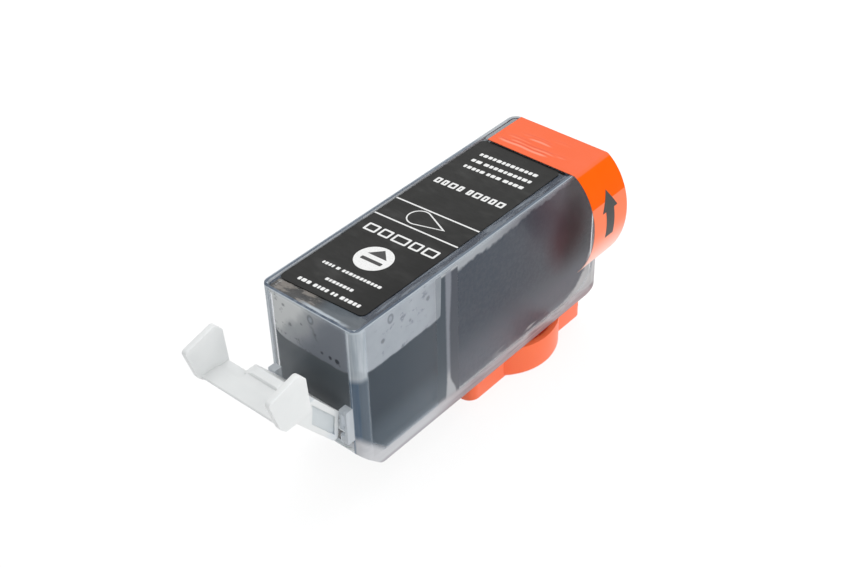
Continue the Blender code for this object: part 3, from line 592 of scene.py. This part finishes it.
def ink_tone(s):
    """Ink behind the side wall, lighter towards the floor, where light is painted in."""
    tone = s.mix(s.ramp(s.z, 22, 13), (0.047, 0.061, 0.077), (0.094, 0.117, 0.140))
    return s.mix(s.ramp(s.z, 13.0, 10.4), tone, (0.155, 0.185, 0.215))


def foam_tone(s):
    """Soaked foam behind the side wall, lighter and warmer towards the floor, where light is painted in, with
    its fine cells.
    """
    low = s.ramp(s.z, 26, 12)
    tone = s.mix(low, (0.042, 0.053, 0.071), (0.130, 0.136, 0.158))
    tone = s.mix(s.ramp(s.y, -20, 8), tone, s.mix(low, (0.045, 0.043, 0.054), (0.125, 0.120, 0.136)))
    tone = s.mix(s.ramp(s.z, 12.6, 10.2), tone, (0.185, 0.190, 0.215))
    cells = s.noise(0.8, 3, 0.6, shift=7)
    return s.mix(s.times(s.ramp(cells, 0.35, 0.7), 0.3), tone, (0.085, 0.090, 0.105))


def tank_inside():
    """The inner skin: frosted pale where it is dry, dark where ink or foam wets it, with a painted reflection
    of the orange tape.
    """
    s = Shade("clear_inside")
    wide = s.math("ABSOLUTE", s.x)
    on_wall = s.ramp(s.normal()[0], *WALL_TURN)
    on_end = s.minus(1, on_wall)
    in_front = s.ramp(s.y, PARTITION + 0.1, PARTITION - 0.1)
    lumps = s.noise(3.2, 3, 0.5)
    cloud = s.noise(5.0, 3, 0.55, shift=4)
    fine = s.noise(0.8, 3, 0.6, shift=7)

    # Front chamber: the ink creeps up in its corners
    along_side = s.least(s.minus(s.y, FRONT + WALL), s.minus(SEAM + SEAM_PARALLAX, s.y))
    along_end = s.minus(INNER, wide)
    corner_gap = s.add(s.times(on_wall, along_side), s.times(on_end, along_end))
    level = s.add(ink_creep(s, corner_gap), s.times(s.minus(lumps, 0.5), 0.8), INK_LEVEL - 0.1)
    dry_front = s.ramp(s.minus(s.z, level), -0.3, 0.35)

    # Rear chamber: the foam's uneven top, its round lower corner, dry streaks low down and the seam
    rise = s.ramp(s.y, -28, 6, -0.9, 0.5)
    ragged = s.add(s.times(s.minus(lumps, 0.5), 3.0), rise, FOAM_TOP)
    dry_top = s.ramp(s.minus(s.z, ragged), -0.45, 0.45)
    dry_heel = s.ramp(s.add(s.corner_reach(HEEL_INSIDE), s.times(fine, 1.2)), 11.2, 12.4)
    patch = s.times(
        s.ramp(s.noise(2.4, 2, 0.5, stretch=(1, 5, 1), shift=2), 0.50, 0.60),
        s.ramp(s.z, BASE + WALL + 2.4, BASE + WALL + 1.4),
        s.ramp(s.y, -18, -8),
    )
    dry_seam = s.ramp(s.add(s.y, s.times(fine, 0.5)), PARTITION_BACK + 0.9, PARTITION_BACK + 0.5)
    dry_seam = s.times(on_wall, dry_seam)
    dry_rear = s.most(dry_top, dry_heel, patch, dry_seam)

    dry = s.add(s.times(in_front, dry_front), s.times(s.minus(1, in_front), dry_rear))

    # Dry walls: pale over the ink, palest at the left of the front, and darker above the foam
    pale_side = s.mix(cloud, (0.36, 0.39, 0.43), (0.50, 0.53, 0.56))
    across = s.add(s.x, s.times(s.z, -0.8), s.times(cloud, 5), 29.5)
    pale_end = s.mix(s.ramp(across, -5.2, -2.0), (0.74, 0.74, 0.72), (0.43, 0.44, 0.45))
    pale_end = s.mix(s.ramp(across, -2.5, 3.5), pale_end, (0.24, 0.255, 0.285))
    pale_end = s.mix(s.ramp(s.x, 7.5, 10.5), pale_end, (0.34, 0.37, 0.41))
    strip = s.mix(s.ramp(s.y, -24, -4), (0.42, 0.44, 0.46), (0.20, 0.20, 0.22))
    strip = s.mix(s.ramp(s.y, -2, 12), strip, (0.17, 0.13, 0.155))
    low = s.ramp(s.z, 22, 18)
    strip = s.mix(low, strip, s.mix(cloud, (0.46, 0.45, 0.45), (0.66, 0.65, 0.64)))
    tone = s.mix(in_front, strip, s.mix(on_end, pale_side, pale_end))

    # Stains of ink over the front chamber's air, and one dark run across the front wall
    stain = s.ramp(s.noise(1.6, 3, 0.55, stretch=(1, 1.3, 1), shift=21), 0.56, 0.74)
    there = s.most(s.ramp(s.x, -6, -8), s.ramp(s.z, 35.5, 34))
    there = s.mix_number(on_end, s.band(s.y, -50, -36, 3), there)
    stain_tone = s.mix(on_end, (0.15, 0.165, 0.20), (0.08, 0.08, 0.09))
    tone = s.mix(s.times(in_front, stain, there, 0.75), tone, stain_tone)
    run = s.math("ABSOLUTE", s.add(s.x, s.times(s.z, 0.55), s.times(lumps, 3.0), -22.5))
    run = s.times(in_front, on_end, s.ramp(run, 0.8, 0.1))
    run = s.times(run, s.ramp(s.z, 40.5, 39.0), s.ramp(s.z, 36.0, 37.0))
    tone = s.mix(s.times(run, 0.35), tone, (0.10, 0.11, 0.125))

    # Drops and specks of ink that cling to the dry wall
    for drop in DROPS:
        away = s.away(drop, DROP_STRETCH)
        tone = s.mix(s.times(s.ramp(away, 1.0, 0.7), 0.55), tone, (0.10, 0.115, 0.14))
        tone = s.mix(s.times(s.ramp(away, 0.55, 0.3), 0.7), tone, (0.40, 0.44, 0.48))
    for spot, size, dark in SPECKS:
        away = s.add(s.vector("DISTANCE", s.place, spot), s.times(fine, 0.5))
        tone = s.mix(s.times(s.ramp(away, size + 0.55, size + 0.15), dark), tone, (0.045, 0.05, 0.06))

    # Wet walls: the ink's and the foam's tones, reddish towards the back, with the painted reflection of the
    # orange tape
    wet_side = s.mix(in_front, foam_tone(s), ink_tone(s))
    # The painted reflection of the orange tape, where the wall's own gloss is turned down
    tape_reflection = s.add(s.away(TAPE_REFLECTION_PLACE, TAPE_REFLECTION_STRETCH), s.times(s.add(cloud, -0.5), 1.5))
    wet_side = s.mix(s.ramp(tape_reflection, 12.5, 2.0), wet_side, (0.072, 0.018, 0.024))
    plum = s.times(s.ramp(s.y, -8, 3), s.ramp(s.z, 26, 36), 0.6)
    wet_side = s.mix(plum, wet_side, (0.066, 0.042, 0.056))
    wet_end = s.mix(s.ramp(s.z, 31, 25), (0.100, 0.112, 0.122), (0.135, 0.148, 0.158))
    tone = s.mix(dry, s.mix(on_end, wet_side, wet_end), tone)
    cover = s.mix_number(dry, 1.0, 0.9)
    shine = s.mix_number(s.times(on_wall, s.ramp(tape_reflection, 11.5, 3.5)), WALL_SHINE, 0.02)
    body = s.principled(Base_Color=tone, Roughness=0.24, Specular_IOR_Level=shine)
    return s.finish(s.blend(cover, s.clear((0.99, 0.99, 1.0)), body))


def lid_clear():
    """The lid: clear, with the grey of the tank below and bluish streaks beside the label."""
    s = Shade("clear_lid")
    wide = s.math("ABSOLUTE", s.x)
    streak = s.noise(0.9, 3, 0.6, stretch=(1, 10, 1))
    cloud = s.noise(4.0, 2, 0.45, stretch=(1.5, 1, 1), shift=3)
    strip = s.mix(s.ramp(streak, 0.40, 0.75), (0.035, 0.050, 0.080), (0.26, 0.30, 0.35))

    # In front of the label: dark, browner at the left and bluer at the right, with a line of glare
    ahead = s.times(s.ramp(s.y, LABEL_FRONT + 1.4, LABEL_FRONT + 0.9), s.ramp(wide, 10.9, 10.6))
    blotch = s.noise(1.5, 3, 0.6, stretch=(2.6, 1, 1), shift=12)
    front = s.mix(s.ramp(cloud, 0.35, 0.65), (0.022, 0.024, 0.026), (0.070, 0.066, 0.062))
    brown = s.times(s.ramp(blotch, 0.50, 0.62), s.ramp(s.x, 1.5, -1.0), 0.7)
    front = s.mix(brown, front, (0.30, 0.27, 0.24))
    blue = s.mix(blotch, (0.040, 0.060, 0.080), (0.16, 0.19, 0.22))
    front = s.mix(s.times(s.ramp(s.x, -1.0, 3.0), 0.8), front, blue)
    glare = s.band(s.add(s.y, s.times(blotch, 0.6)), -55.9, -55.2, 0.25)
    glare = s.times(glare, s.ramp(s.x, -4.0, 0.0), s.ramp(s.x, 10, 7))
    front = s.mix(s.times(glare, s.ramp(blotch, 0.35, 0.5, 0.3, 1.0)), front, (0.50, 0.56, 0.62))
    tone = s.mix(ahead, strip, front)

    # Behind the label: pale at the left rim, and painted shade under the tape
    rear_left = s.times(s.ramp(s.y, 4.5, 7.0), s.ramp(s.x, -9.9, -10.2))
    tone = s.mix(rear_left, tone, s.mix(streak, (0.26, 0.29, 0.31), (0.44, 0.47, 0.49)))
    tone = s.mix(s.times(s.ramp(s.y, 7.6, 7.9), s.ramp(wide, 10.4, 10.0)), tone, (0.03, 0.03, 0.032))
    up = s.ramp(s.z, LID_TOP - 0.5, LID_TOP - 0.1)
    haze = s.add(s.times(up, 0.62), s.times(up, ahead, 0.14), 0.12)
    body = s.principled(Base_Color=tone, Roughness=0.18, Specular_IOR_Level=0.4)
    return s.finish(s.blend(haze, s.clear(), body))


def ink_black():
    s = Shade("ink_black")
    tone = s.mix(s.noise(6, 3), (0.008, 0.010, 0.013), (0.016, 0.018, 0.022))
    return s.finish(s.principled(Base_Color=tone, Roughness=0.12, Specular_IOR_Level=0.3))


def foam_black():
    s = Shade("foam_black")
    cells = s.noise(0.5, 3, 0.7)
    tone = s.mix(cells, (0.010, 0.012, 0.014), (0.030, 0.033, 0.038))
    return s.finish(s.principled(Base_Color=tone, Roughness=0.95, Normal=s.bump(cells, 0.3)))


def label_dark():
    """A satin black film with slow waves, a few light scuffs, painted streaks of sheen and painted shade
    towards the front right.
    """
    s = Shade("label_dark")
    waves = s.noise(9, 2, 0.45, stretch=(1.0, 1.6, 1))
    scuff = s.noise(1.1, 4, 0.7, stretch=(3, 1, 1), shift=5)
    # Painted sheen: soft lighter streaks across the film
    sheen = s.times(s.ramp(s.noise(6, 3, 0.6, stretch=(2.2, 1, 1), shift=8), 0.52, 0.75), 0.5)
    tone = s.mix(s.ramp(scuff, 0.3, 0.8), (0.021, 0.021, 0.020), (0.029, 0.029, 0.028))
    tone = s.mix(sheen, tone, (0.075, 0.075, 0.073))
    # Painted shade: darker towards the front right
    tone = s.mix(s.times(s.ramp(s.x, 1, 9), s.ramp(s.y, -10, -30), 0.5), tone, (0.008, 0.008, 0.008))
    relief = s.bump(s.add(waves, s.times(scuff, 0.02)), 0.5)
    rough = s.ramp(scuff, 0.3, 0.8, 0.32, 0.42)
    return s.finish(s.principled(Base_Color=tone, Roughness=rough, Specular_IOR_Level=0.13, Normal=relief))


def print_white():
    s = Shade("print_white")
    wear = s.noise(0.35, 4, 0.7)
    tone = s.mix(s.ramp(wear, 0.25, 0.6), (0.74, 0.74, 0.73), (0.90, 0.90, 0.89))
    return s.finish(s.principled(Base_Color=tone, Roughness=0.45))


def print_dark():
    s = Shade("print_dark")
    tone = s.mix(s.noise(0.5, 3), (0.018, 0.018, 0.018), (0.035, 0.035, 0.034))
    return s.finish(s.principled(Base_Color=tone, Roughness=0.45))


def tape_orange():
    """Glossy orange film, pinker on top and below the fold line of the loop, where reflections are painted
    in, and with painted light and shade along the ridges.
    """
    s = Shade("tape_orange")
    cloud = s.noise(7, 3, 0.5)
    on_top = s.ramp(s.z, 44.2, 44.5)
    under_line = s.ramp(s.z, 38.15, 37.95)
    # On top: pinker, a painted reflection of the light above
    top = s.mix(cloud, (0.93, 0.132, 0.032), (0.96, 0.158, 0.052))
    # Painted light and shade that follow the slope of the ridges
    ridge_shading = s.node("ShaderNodeAttribute", attribute_name="ridge_shading").outputs["Fac"]
    top = s.mix(s.ramp(ridge_shading, 0.02, 0.35), top, (1.0, 0.34, 0.22))
    top = s.mix(s.ramp(ridge_shading, -0.02, -0.35), top, (0.80, 0.075, 0.018))
    upper = s.mix(cloud, (1.0, 0.112, 0.0), (1.0, 0.126, 0.002))
    # Below the fold line: a painted reflection of the floor, paler towards the loop's foot
    lower = s.mix(s.ramp(s.z, 32.5, 22.5), (1.0, 0.21, 0.085), (1.0, 0.58, 0.48))
    tone = s.mix(on_top, s.mix(under_line, upper, lower), top)
    relief = s.bump(s.noise(2.5, 3, 0.5, shift=6), 0.05)
    upper_part = s.times(s.minus(1, on_top), s.minus(1, under_line))
    shine = s.times(s.minus(1, upper_part), 0.2)
    return s.finish(
        s.principled(Base_Color=tone, Roughness=0.36, Specular_IOR_Level=s.add(shine, 0.05), Normal=relief)
    )


def cap_orange():
    s = Shade("cap_orange")
    grain = s.noise(0.25, 3, 0.6)
    cloud = s.noise(6, 2, 0.5)
    tone = s.mix(cloud, (1.0, 0.165, 0.055), (1.0, 0.195, 0.075))
    return s.finish(
        s.principled(
            Base_Color=tone,
            Roughness=s.ramp(grain, 0.3, 0.7, 0.30, 0.42),
            Specular_IOR_Level=0.4,
            # Painted light: a faint orange glow that lifts the cap
            Emission_Color=(1.0, 0.16, 0.05),
            Emission_Strength=0.05,
            Subsurface_Weight=0.25,
            Subsurface_Radius=(0.9, 0.35, 0.15),
            Subsurface_Scale=1.2 * MM,
            Normal=s.bump(grain, 0.02),
        )
    )


def lever_milky():
    """Milky plastic, a little darker in the arm's side panels and bluish at its foot."""
    s = Shade("lever_milky")
    cloud = s.noise(5, 3, 0.5)
    grain = s.noise(0.3, 3, 0.6)
    tone = s.mix(cloud, (0.72, 0.735, 0.735), (0.80, 0.81, 0.805))
    wide = s.math("ABSOLUTE", s.x)
    sunk = s.times(s.band(wide, 6.9, 7.35, 0.08), s.ramp(s.y, -68.2, -67.6))
    tone = s.mix(s.times(sunk, 0.8), tone, s.mix(cloud, (0.50, 0.54, 0.56), (0.62, 0.66, 0.68)))
    foot = s.times(s.ramp(s.y, -64.5, -60.5), s.ramp(s.z, 22, 19))
    tone = s.mix(s.times(foot, 0.5), tone, (0.60, 0.66, 0.72))
    return s.finish(
        s.principled(
            Base_Color=tone,
            Roughness=s.ramp(grain, 0.3, 0.7, 0.34, 0.46),
            Subsurface_Weight=0.6,
            Subsurface_Radius=(1.0, 1.0, 1.0),
            Subsurface_Scale=1.6 * MM,
            Normal=s.bump(grain, 0.015),
        )
    )


def plain_grain(name, dark, light, size, rough, depth=0.02, **more):
    """A moulded or printed finish with its own grain."""
    s = Shade(name)
    grain = s.noise(size, 3, 0.65)
    return s.finish(
        s.principled(
            Base_Color=s.mix(grain, dark, light),
            Roughness=s.ramp(grain, 0.3, 0.7, rough, rough + 0.1),
            Normal=s.bump(grain, depth),
            **more,
        )
    )


# ---------------------------------------------------------------- shapes

def piece(name, mesh, body, slot, *materials):
    obj = bpy.data.objects.new(name, mesh)
    bpy.context.scene.collection.objects.link(obj)
    for material in materials:
        mesh.materials.append(material)
    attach(obj, body)
    return obj


def finished_mesh(work, name):
    """Turns mesh code into a mesh with that name."""
    mesh = bpy.data.meshes.new(name)
    work.to_mesh(mesh)
    work.free()
    return mesh


def smooth(mesh, degrees=32):
    mesh.shade_smooth()
    mesh.set_sharp_from_angle(angle=math.radians(degrees))


def softened(node, width, steps=2):
    """A CAD node's shape as clean faces with its edges rounded by width millimetres."""
    work = bmesh.new()
    work.from_mesh(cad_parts[node].data)
    bmesh.ops.remove_doubles(work, verts=work.verts, dist=WELD)
    bmesh.ops.dissolve_limit(
        work,
        angle_limit=math.radians(FLAT_TURN),
        verts=work.verts,
        edges=work.edges,
        use_dissolve_boundaries=False,
    )
    bmesh.ops.dissolve_degenerate(work, edges=work.edges, dist=WELD / 2)
    edges = [
        e for e in work.edges if len(e.link_faces) == 2 and math.degrees(e.calc_face_angle(0)) > SHARP_TURN
    ]
    bmesh.ops.bevel(
        work,
        geom=edges,
        offset=width * MM,
        offset_type="OFFSET",
        segments=steps,
        profile=0.5,
        affect="EDGES",
        clamp_overlap=True,
    )
    bmesh.ops.triangulate(work, faces=[f for f in work.faces if len(f.verts) > 4])
    return finished_mesh(work, node + "_soft")


def inside_tank(centre, normal):
    """True for a face of the tank that looks into one of its chambers."""
    x, y, z = (c / MM for c in centre)
    if abs(x) > HALF - 0.3 or y < FRONT + 0.5 or y > BACK - 0.3 or z < BASE + 0.6 or z > TOP - 0.2:
        return False
    if (y - FRONT) + (z - BASE) < CHIP_SLOPE + 2.2:
        return False
    middle = (FRONT + PARTITION_FRONT) / 2 if y < PARTITION else -5
    away = Vector((x, y, z)) - Vector((0, middle, 27))
    return away.dot(normal) < 0


def add_tank():
    mesh = softened("tank_body", 0.12)
    obj = piece("tank_shell", mesh, "tank", "clear_plastic", tank_outside(), tank_inside())
    for face in mesh.polygons:
        face.material_index = 1 if inside_tank(face.center, face.normal) else 0
    smooth(mesh)
    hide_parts("tank_body")


def add_soft(node, name, width, body, slot, material, steps=2):
    """A piece with rounded edges in place of a CAD node."""
    mesh = softened(node, width, steps)
    obj = piece(name, mesh, body, slot, material)
    smooth(mesh)
    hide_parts(node)


def ring(work, outline, z):
    """An outline's points, from (x, y) in millimetres, at height z."""
    return [work.verts.new((x * MM, y * MM, z * MM)) for x, y in outline]


def bridge(work, a, b):
    """Faces between two rings with the same number of points."""
    for i in range(len(a)):
        j = (i + 1) % len(a)
        work.faces.new((a[i], a[j], b[j], b[i]))


def slab(work, outline, low, high):
    """A flat closed shape."""
    bottom, top = ring(work, outline, low), ring(work, outline, high)
    work.faces.new(bottom[::-1])
    work.faces.new(top)
    bridge(work, bottom, top)


def frame_ring(work, outer, inner, low, high):
    """A closed band between two outlines with the same number of points."""
    rings = [ring(work, *at) for at in ((outer, low), (outer, high), (inner, high), (inner, low))]
    for a, b in zip(rings, rings[1:] + rings[:1]):
        bridge(work, a, b)


def printed(points):
    """Points of the print, y counted from the tank's front, as they lie on the label."""
    middle = (LABEL_LEFT + LABEL_RIGHT) / 2
    return [(x, y + FRONT + (x - middle) * PRINT_SKEW) for x, y in points]


def around(centre, radius, angle):
    """The point of a circle at an angle in radians."""
    return centre[0] + radius * math.cos(angle), centre[1] + radius * math.sin(angle)


def bar(left, right, low, high, corner):
    """A bar with rounded corners."""
    corner = min(corner, (high - low) / 2, (right - left) / 2)
    points = []
    for centre, start in (
        ((right - corner, low + corner), -90),
        ((right - corner, high - corner), 0),
        ((left + corner, high - corner), 90),
        ((left + corner, low + corner), 180),
    ):
        for step in range(CORNER_STEPS + 1):
            points.append(around(centre, corner, math.radians(start + 90 * step / CORNER_STEPS)))
    return points


def blocks(left, right, wide, gap):
    """A word as a row of blocks of uneven width, with even gaps."""
    count = max(1, round((right - left + gap) / (wide + gap)))
    shares = [1 + 0.22 * math.sin(2.4 * i + left) for i in range(count)]
    unit = (right - left - gap * (count - 1)) / sum(shares)
    made = []
    for share in shares:
        made.append((left, left + share * unit))
        left += share * unit + gap
    return made


def drop_outline(tip, radius):
    """A drop on its side: round at the left, pointed at the right."""
    lean = math.acos(radius / (tip[0] - MARK_MIDDLE[0]))
    points = [tip]
    for step in range(MARK_STEPS):
        angle = lean + (2 * math.pi - 2 * lean) * step / (MARK_STEPS - 1)
        points.append(around(MARK_MIDDLE, radius, angle))
    return points


def add_block(work, left, right, y, tall, low, high):
    """One block of a word, hollow in the big print."""
    bottom, top = y - tall / 2, y + tall / 2
    if tall < BIG_PRINT:
        slab(work, printed(bar(left, right, bottom, top, 0.22 * tall)), low, high)
        return
    corner = 0.12 * tall
    outer = bar(left, right, bottom, top, corner)
    inner = bar(left + STROKE, right - STROKE, bottom + STROKE, top - STROKE, corner / 3)
    frame_ring(work, printed(outer), printed(inner), low, high)


def add_print():
    low, high = LABEL_TOP - 0.01, LABEL_TOP + 0.02
    white = bmesh.new()
    for y in LINES:
        line = bar(LABEL_LEFT + 0.02, LABEL_RIGHT - 0.02, y - LINE_HALF, y + LINE_HALF, 0.02)
        slab(white, printed(line), low, high)
    outer = drop_outline(MARK_TIP, MARK_RADIUS)
    inner = drop_outline((MARK_TIP[0] - 0.75, MARK_TIP[1] + 0.02), MARK_HOLE)
    frame_ring(white, printed(outer), printed(inner), low, high)
    disc = [around(DISC_MIDDLE, DISC_RADIUS, 2 * math.pi * i / DISC_STEPS) for i in range(DISC_STEPS)]
    slab(white, printed(disc), low, high)
    for y, tall, wide, words in PRINT_ROWS:
        for word in words:
            for left, right in blocks(*word, wide, tall * 0.26):
                add_block(white, left, right, y, tall, low, high)

    # On the disc, a triangle over a bar
    dark = bmesh.new()
    slab(dark, printed(DISC_TRIANGLE), high, high + 0.01)
    slab(dark, printed(bar(*DISC_BAR, 0.2)), high, high + 0.01)
    for name, work, material in (
        ("label_print", white, print_white()),
        ("label_print_dark", dark, print_dark()),
    ):
        bmesh.ops.recalc_face_normals(work, faces=work.faces)
        piece(name, finished_mesh(work, name), "tank", "label_black", material)


def cubic(a, b, c, d, t):
    u = 1 - t
    return a * u**3 + b * 3 * t * u * u + c * 3 * t * t * u + d * t**3


def tape_path():
    """The tape's middle line in (x, z), as in the part's source, in even short steps."""
    level = TOP + 0.03 + TAPE_FILM / 2
    start = Vector((HALF + 3 * TAPE_FILM, level - TAPE_FILM))
    end = Vector((HALF + 2.5, level - LOOP_DROP))
    out = Vector(LOOP_OUT).normalized()
    back = Vector(LOOP_BACK).normalized()
    reach = TAPE_EDGE - TAPE_LEFT
    line = [Vector((TAPE_LEFT + reach * i / TOP_STEPS, level)) for i in range(TOP_STEPS)]
    edge = [Vector((TAPE_EDGE, level)), Vector((HALF + 0.3, level)), start - out * 0.6, start]
    line += [cubic(*edge, i / EDGE_STEPS) for i in range(EDGE_STEPS)]
    loop = [start, start + out * LOOP_OUT_PULL, end + back * LOOP_BACK_PULL, end]
    line += [cubic(*loop, i / LOOP_STEPS) for i in range(LOOP_STEPS + 1)]
    return line


def path_ups(path):
    """The film's outward direction at each point of its middle line."""
    ups = []
    for index in range(len(path)):
        before, after = path[max(index - 1, 0)], path[min(index + 1, len(path) - 1)]
        ahead = (after - before).normalized()
        ups.append(Vector((-ahead.y, ahead.x)))
    return ups


def tape_lift(x, y):
    """How far the tape's top stands up over the vent's winding groove, fading out towards its ends."""
    fade = max(0.0, min(1.0, (9.5 - x) / 3)) * max(0.0, min(1.0, (x + 9.8) / 1.5))
    lift = 0.0
    for row, left, right, high in RIDGES:
        lean = row + (x + 2) * 0.02 + 0.09 * math.sin(x * 0.9 + row)
        across = math.exp(-(((y - lean) / RIDGE_WIDTH) ** 2))
        ends = 1 / (1 + math.exp(-(x - left) * 2.2)) / (1 + math.exp((x - right) * 2.2))
        lift += high * across * ends
    soft = noise.noise(Vector((x * 0.16, y * 0.35, 2.0)))
    return fade * (RIDGE_HEIGHT * lift + 0.02 * soft)


def tape_layer(work, path, ups, side):
    """One face of the film as lines of points across it: side is 1 for the outer face, -1 for the inner."""
    layer = []
    for index, (here, up) in enumerate(zip(path, ups)):
        line = []
        for row in range(TAPE_ROWS + 1):
            y = TAPE_FRONT + (TAPE_BACK - TAPE_FRONT) * row / TAPE_ROWS
            lift = tape_lift(here.x, y) if index < TOP_STEPS else 0.0
            wave = 0.02 * noise.noise(Vector((here.x * 0.2, y * 0.25, here.y * 0.2)))
            spot = here + up * (lift + wave - TAPE_SINK + side * TAPE_THIN / 2)
            line.append(work.verts.new((spot.x * MM, y * MM, spot.y * MM)))
        layer.append(line)
    return layer


def add_tape(path, ups):
    work = bmesh.new()
    upper, lower = [tape_layer(work, path, ups, side) for side in (1, -1)]
    last = len(path) - 1
    for i in range(last):
        for r in range(TAPE_ROWS):
            work.faces.new((upper[i][r], upper[i + 1][r], upper[i + 1][r + 1], upper[i][r + 1]))
            work.faces.new((lower[i][r], lower[i][r + 1], lower[i + 1][r + 1], lower[i + 1][r]))
        work.faces.new((upper[i][0], lower[i][0], lower[i + 1][0], upper[i + 1][0]))
        work.faces.new((upper[i][-1], upper[i + 1][-1], lower[i + 1][-1], lower[i][-1]))
    for r in range(TAPE_ROWS):
        work.faces.new((upper[0][r], upper[0][r + 1], lower[0][r + 1], lower[0][r]))
        work.faces.new((upper[last][r], lower[last][r], lower[last][r + 1], upper[last][r + 1]))
    bmesh.ops.recalc_face_normals(work, faces=work.faces)

    # The slope of the ridges, which the film's painted light and shade follow
    ridge_shading = work.verts.layers.float.new("ridge_shading")
    for vert in work.verts:
        x, y, z = (c / MM for c in vert.co)
        if z > TOP and x < TAPE_EDGE:
            vert[ridge_shading] = (tape_lift(x, y + 0.12) - tape_lift(x, y - 0.12)) / 0.24
    mesh = finished_mesh(work, "pull_tape")
    tape = piece("pull_tape", mesh, "tank", "orange_tape", tape_orange())
    smooth(mesh, 50)
    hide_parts("pull_tab")


def loop_point(path, ups, z, out):
    """The point at that height on the loop's outer reach, out millimetres over the film's middle."""
    for i in range(LOOP_START + 1, len(path) - 1):
        a, b = path[i], path[i + 1]
        if a.y >= z >= b.y:
            t = (a.y - z) / max(a.y - b.y, 1e-6)
            up = (ups[i] * (1 - t) + ups[i + 1] * t).normalized()
            return a * (1 - t) + b * t + up * (out - TAPE_SINK)


def arrow_half(z):
    """Half the arrow's width at that height: a head above the shoulder and a stem below."""
    if z >= ARROW_SHOULDER:
        return max(0.02, ARROW_HEAD * (ARROW_TIP - z) / (ARROW_TIP - ARROW_SHOULDER))
    return ARROW_STEM


def add_arrow(path, ups):
    """A plain dark arrow on the loop, printed on the film's outer face."""
    rows = {ARROW_TAIL + (ARROW_TIP - ARROW_TAIL) * i / ARROW_STEPS for i in range(ARROW_STEPS + 1)}
    work = bmesh.new()
    lower, upper = [], []
    for z in sorted(rows | {ARROW_TIP, ARROW_SHOULDER, ARROW_TAIL}):
        half = arrow_half(z)
        for layer, out in zip((lower, upper), ARROW_FACES):
            spot = loop_point(path, ups, z, out)
            across = [(ARROW_Y + side * half) * MM for side in (-1, 0, 1)]
            layer.append([work.verts.new((spot.x * MM, y, spot.y * MM)) for y in across])
    for a0, a1, b0, b1 in zip(lower, upper, lower[1:], upper[1:]):
        for c in (0, 1):
            work.faces.new((a1[c], a1[c + 1], b1[c + 1], b1[c]))
            work.faces.new((a0[c], b0[c], b0[c + 1], a0[c + 1]))
        work.faces.new((a0[0], a1[0], b1[0], b0[0]))
        work.faces.new((a0[2], b0[2], b1[2], a1[2]))
    for c in (0, 1):
        work.faces.new((lower[0][c], lower[0][c + 1], upper[0][c + 1], upper[0][c]))
        work.faces.new((lower[-1][c + 1], lower[-1][c], upper[-1][c], upper[-1][c + 1]))
    bmesh.ops.remove_doubles(work, verts=work.verts, dist=1e-8)
    bmesh.ops.recalc_face_normals(work, faces=work.faces)
    piece("tape_arrow", finished_mesh(work, "tape_arrow"), "tank", "orange_tape", print_dark())


def assign(node, material):
    """Gives a CAD node, whose own shape stays, its material."""
    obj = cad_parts[node]
    obj.data.materials.clear()
    obj.data.materials.append(material)


add_tank()
add_soft("top_lid", "lid_plate", 0.08, "tank", "clear_plastic", lid_clear())
add_soft("latch_lever", "lever_milky", 0.22, "lever", "milky_plastic", lever_milky(), steps=3)
add_soft("outlet_cap", "cap_orange", 0.2, "cap", "orange_plastic", cap_orange(), steps=3)
add_print()
middle_line = tape_path()
outward = path_ups(middle_line)
add_tape(middle_line, outward)
add_arrow(middle_line, outward)
assign("label", label_dark())
assign("ink_fill", ink_black())
foam = foam_black()
assign("lower_foam", foam)
assign("upper_foam", foam)
wick = plain_grain("wick_fibre_dark", (0.02, 0.02, 0.022), (0.08, 0.08, 0.085), 0.25, 0.85, 0.08)
assign("outlet_wick", wick)
steel = plain_grain("filter_steel", (0.42, 0.43, 0.44), (0.62, 0.63, 0.64), 0.12, 0.3, Metallic=1.0)
assign("outlet_filter", steel)
assign("cap_seal", plain_grain("rubber_grey", (0.10, 0.10, 0.10), (0.16, 0.16, 0.16), 0.3, 0.6))
assign("chip_board", plain_grain("board_green", (0.012, 0.10, 0.045), (0.022, 0.15, 0.07), 0.5, 0.35))
assign("chip_adhesive", plain_grain("adhesive_pale", (0.62, 0.58, 0.46), (0.76, 0.72, 0.60), 0.4, 0.6))
assign("chip_die", plain_grain("resin_black", (0.012, 0.012, 0.012), (0.03, 0.03, 0.03), 0.4, 0.3))
gold = plain_grain("contact_gold", (0.80, 0.52, 0.16), (0.95, 0.68, 0.26), 0.3, 0.2, 0.01, Metallic=1.0)
for number in range(1, 9):
    assign(f"chip_contact_{number}", gold)
plug = plain_grain("plug_milky", (0.62, 0.64, 0.66), (0.74, 0.76, 0.78), 0.5, 0.35)
assign("fill_plug_front", plug)
assign("fill_plug_rear", plug)
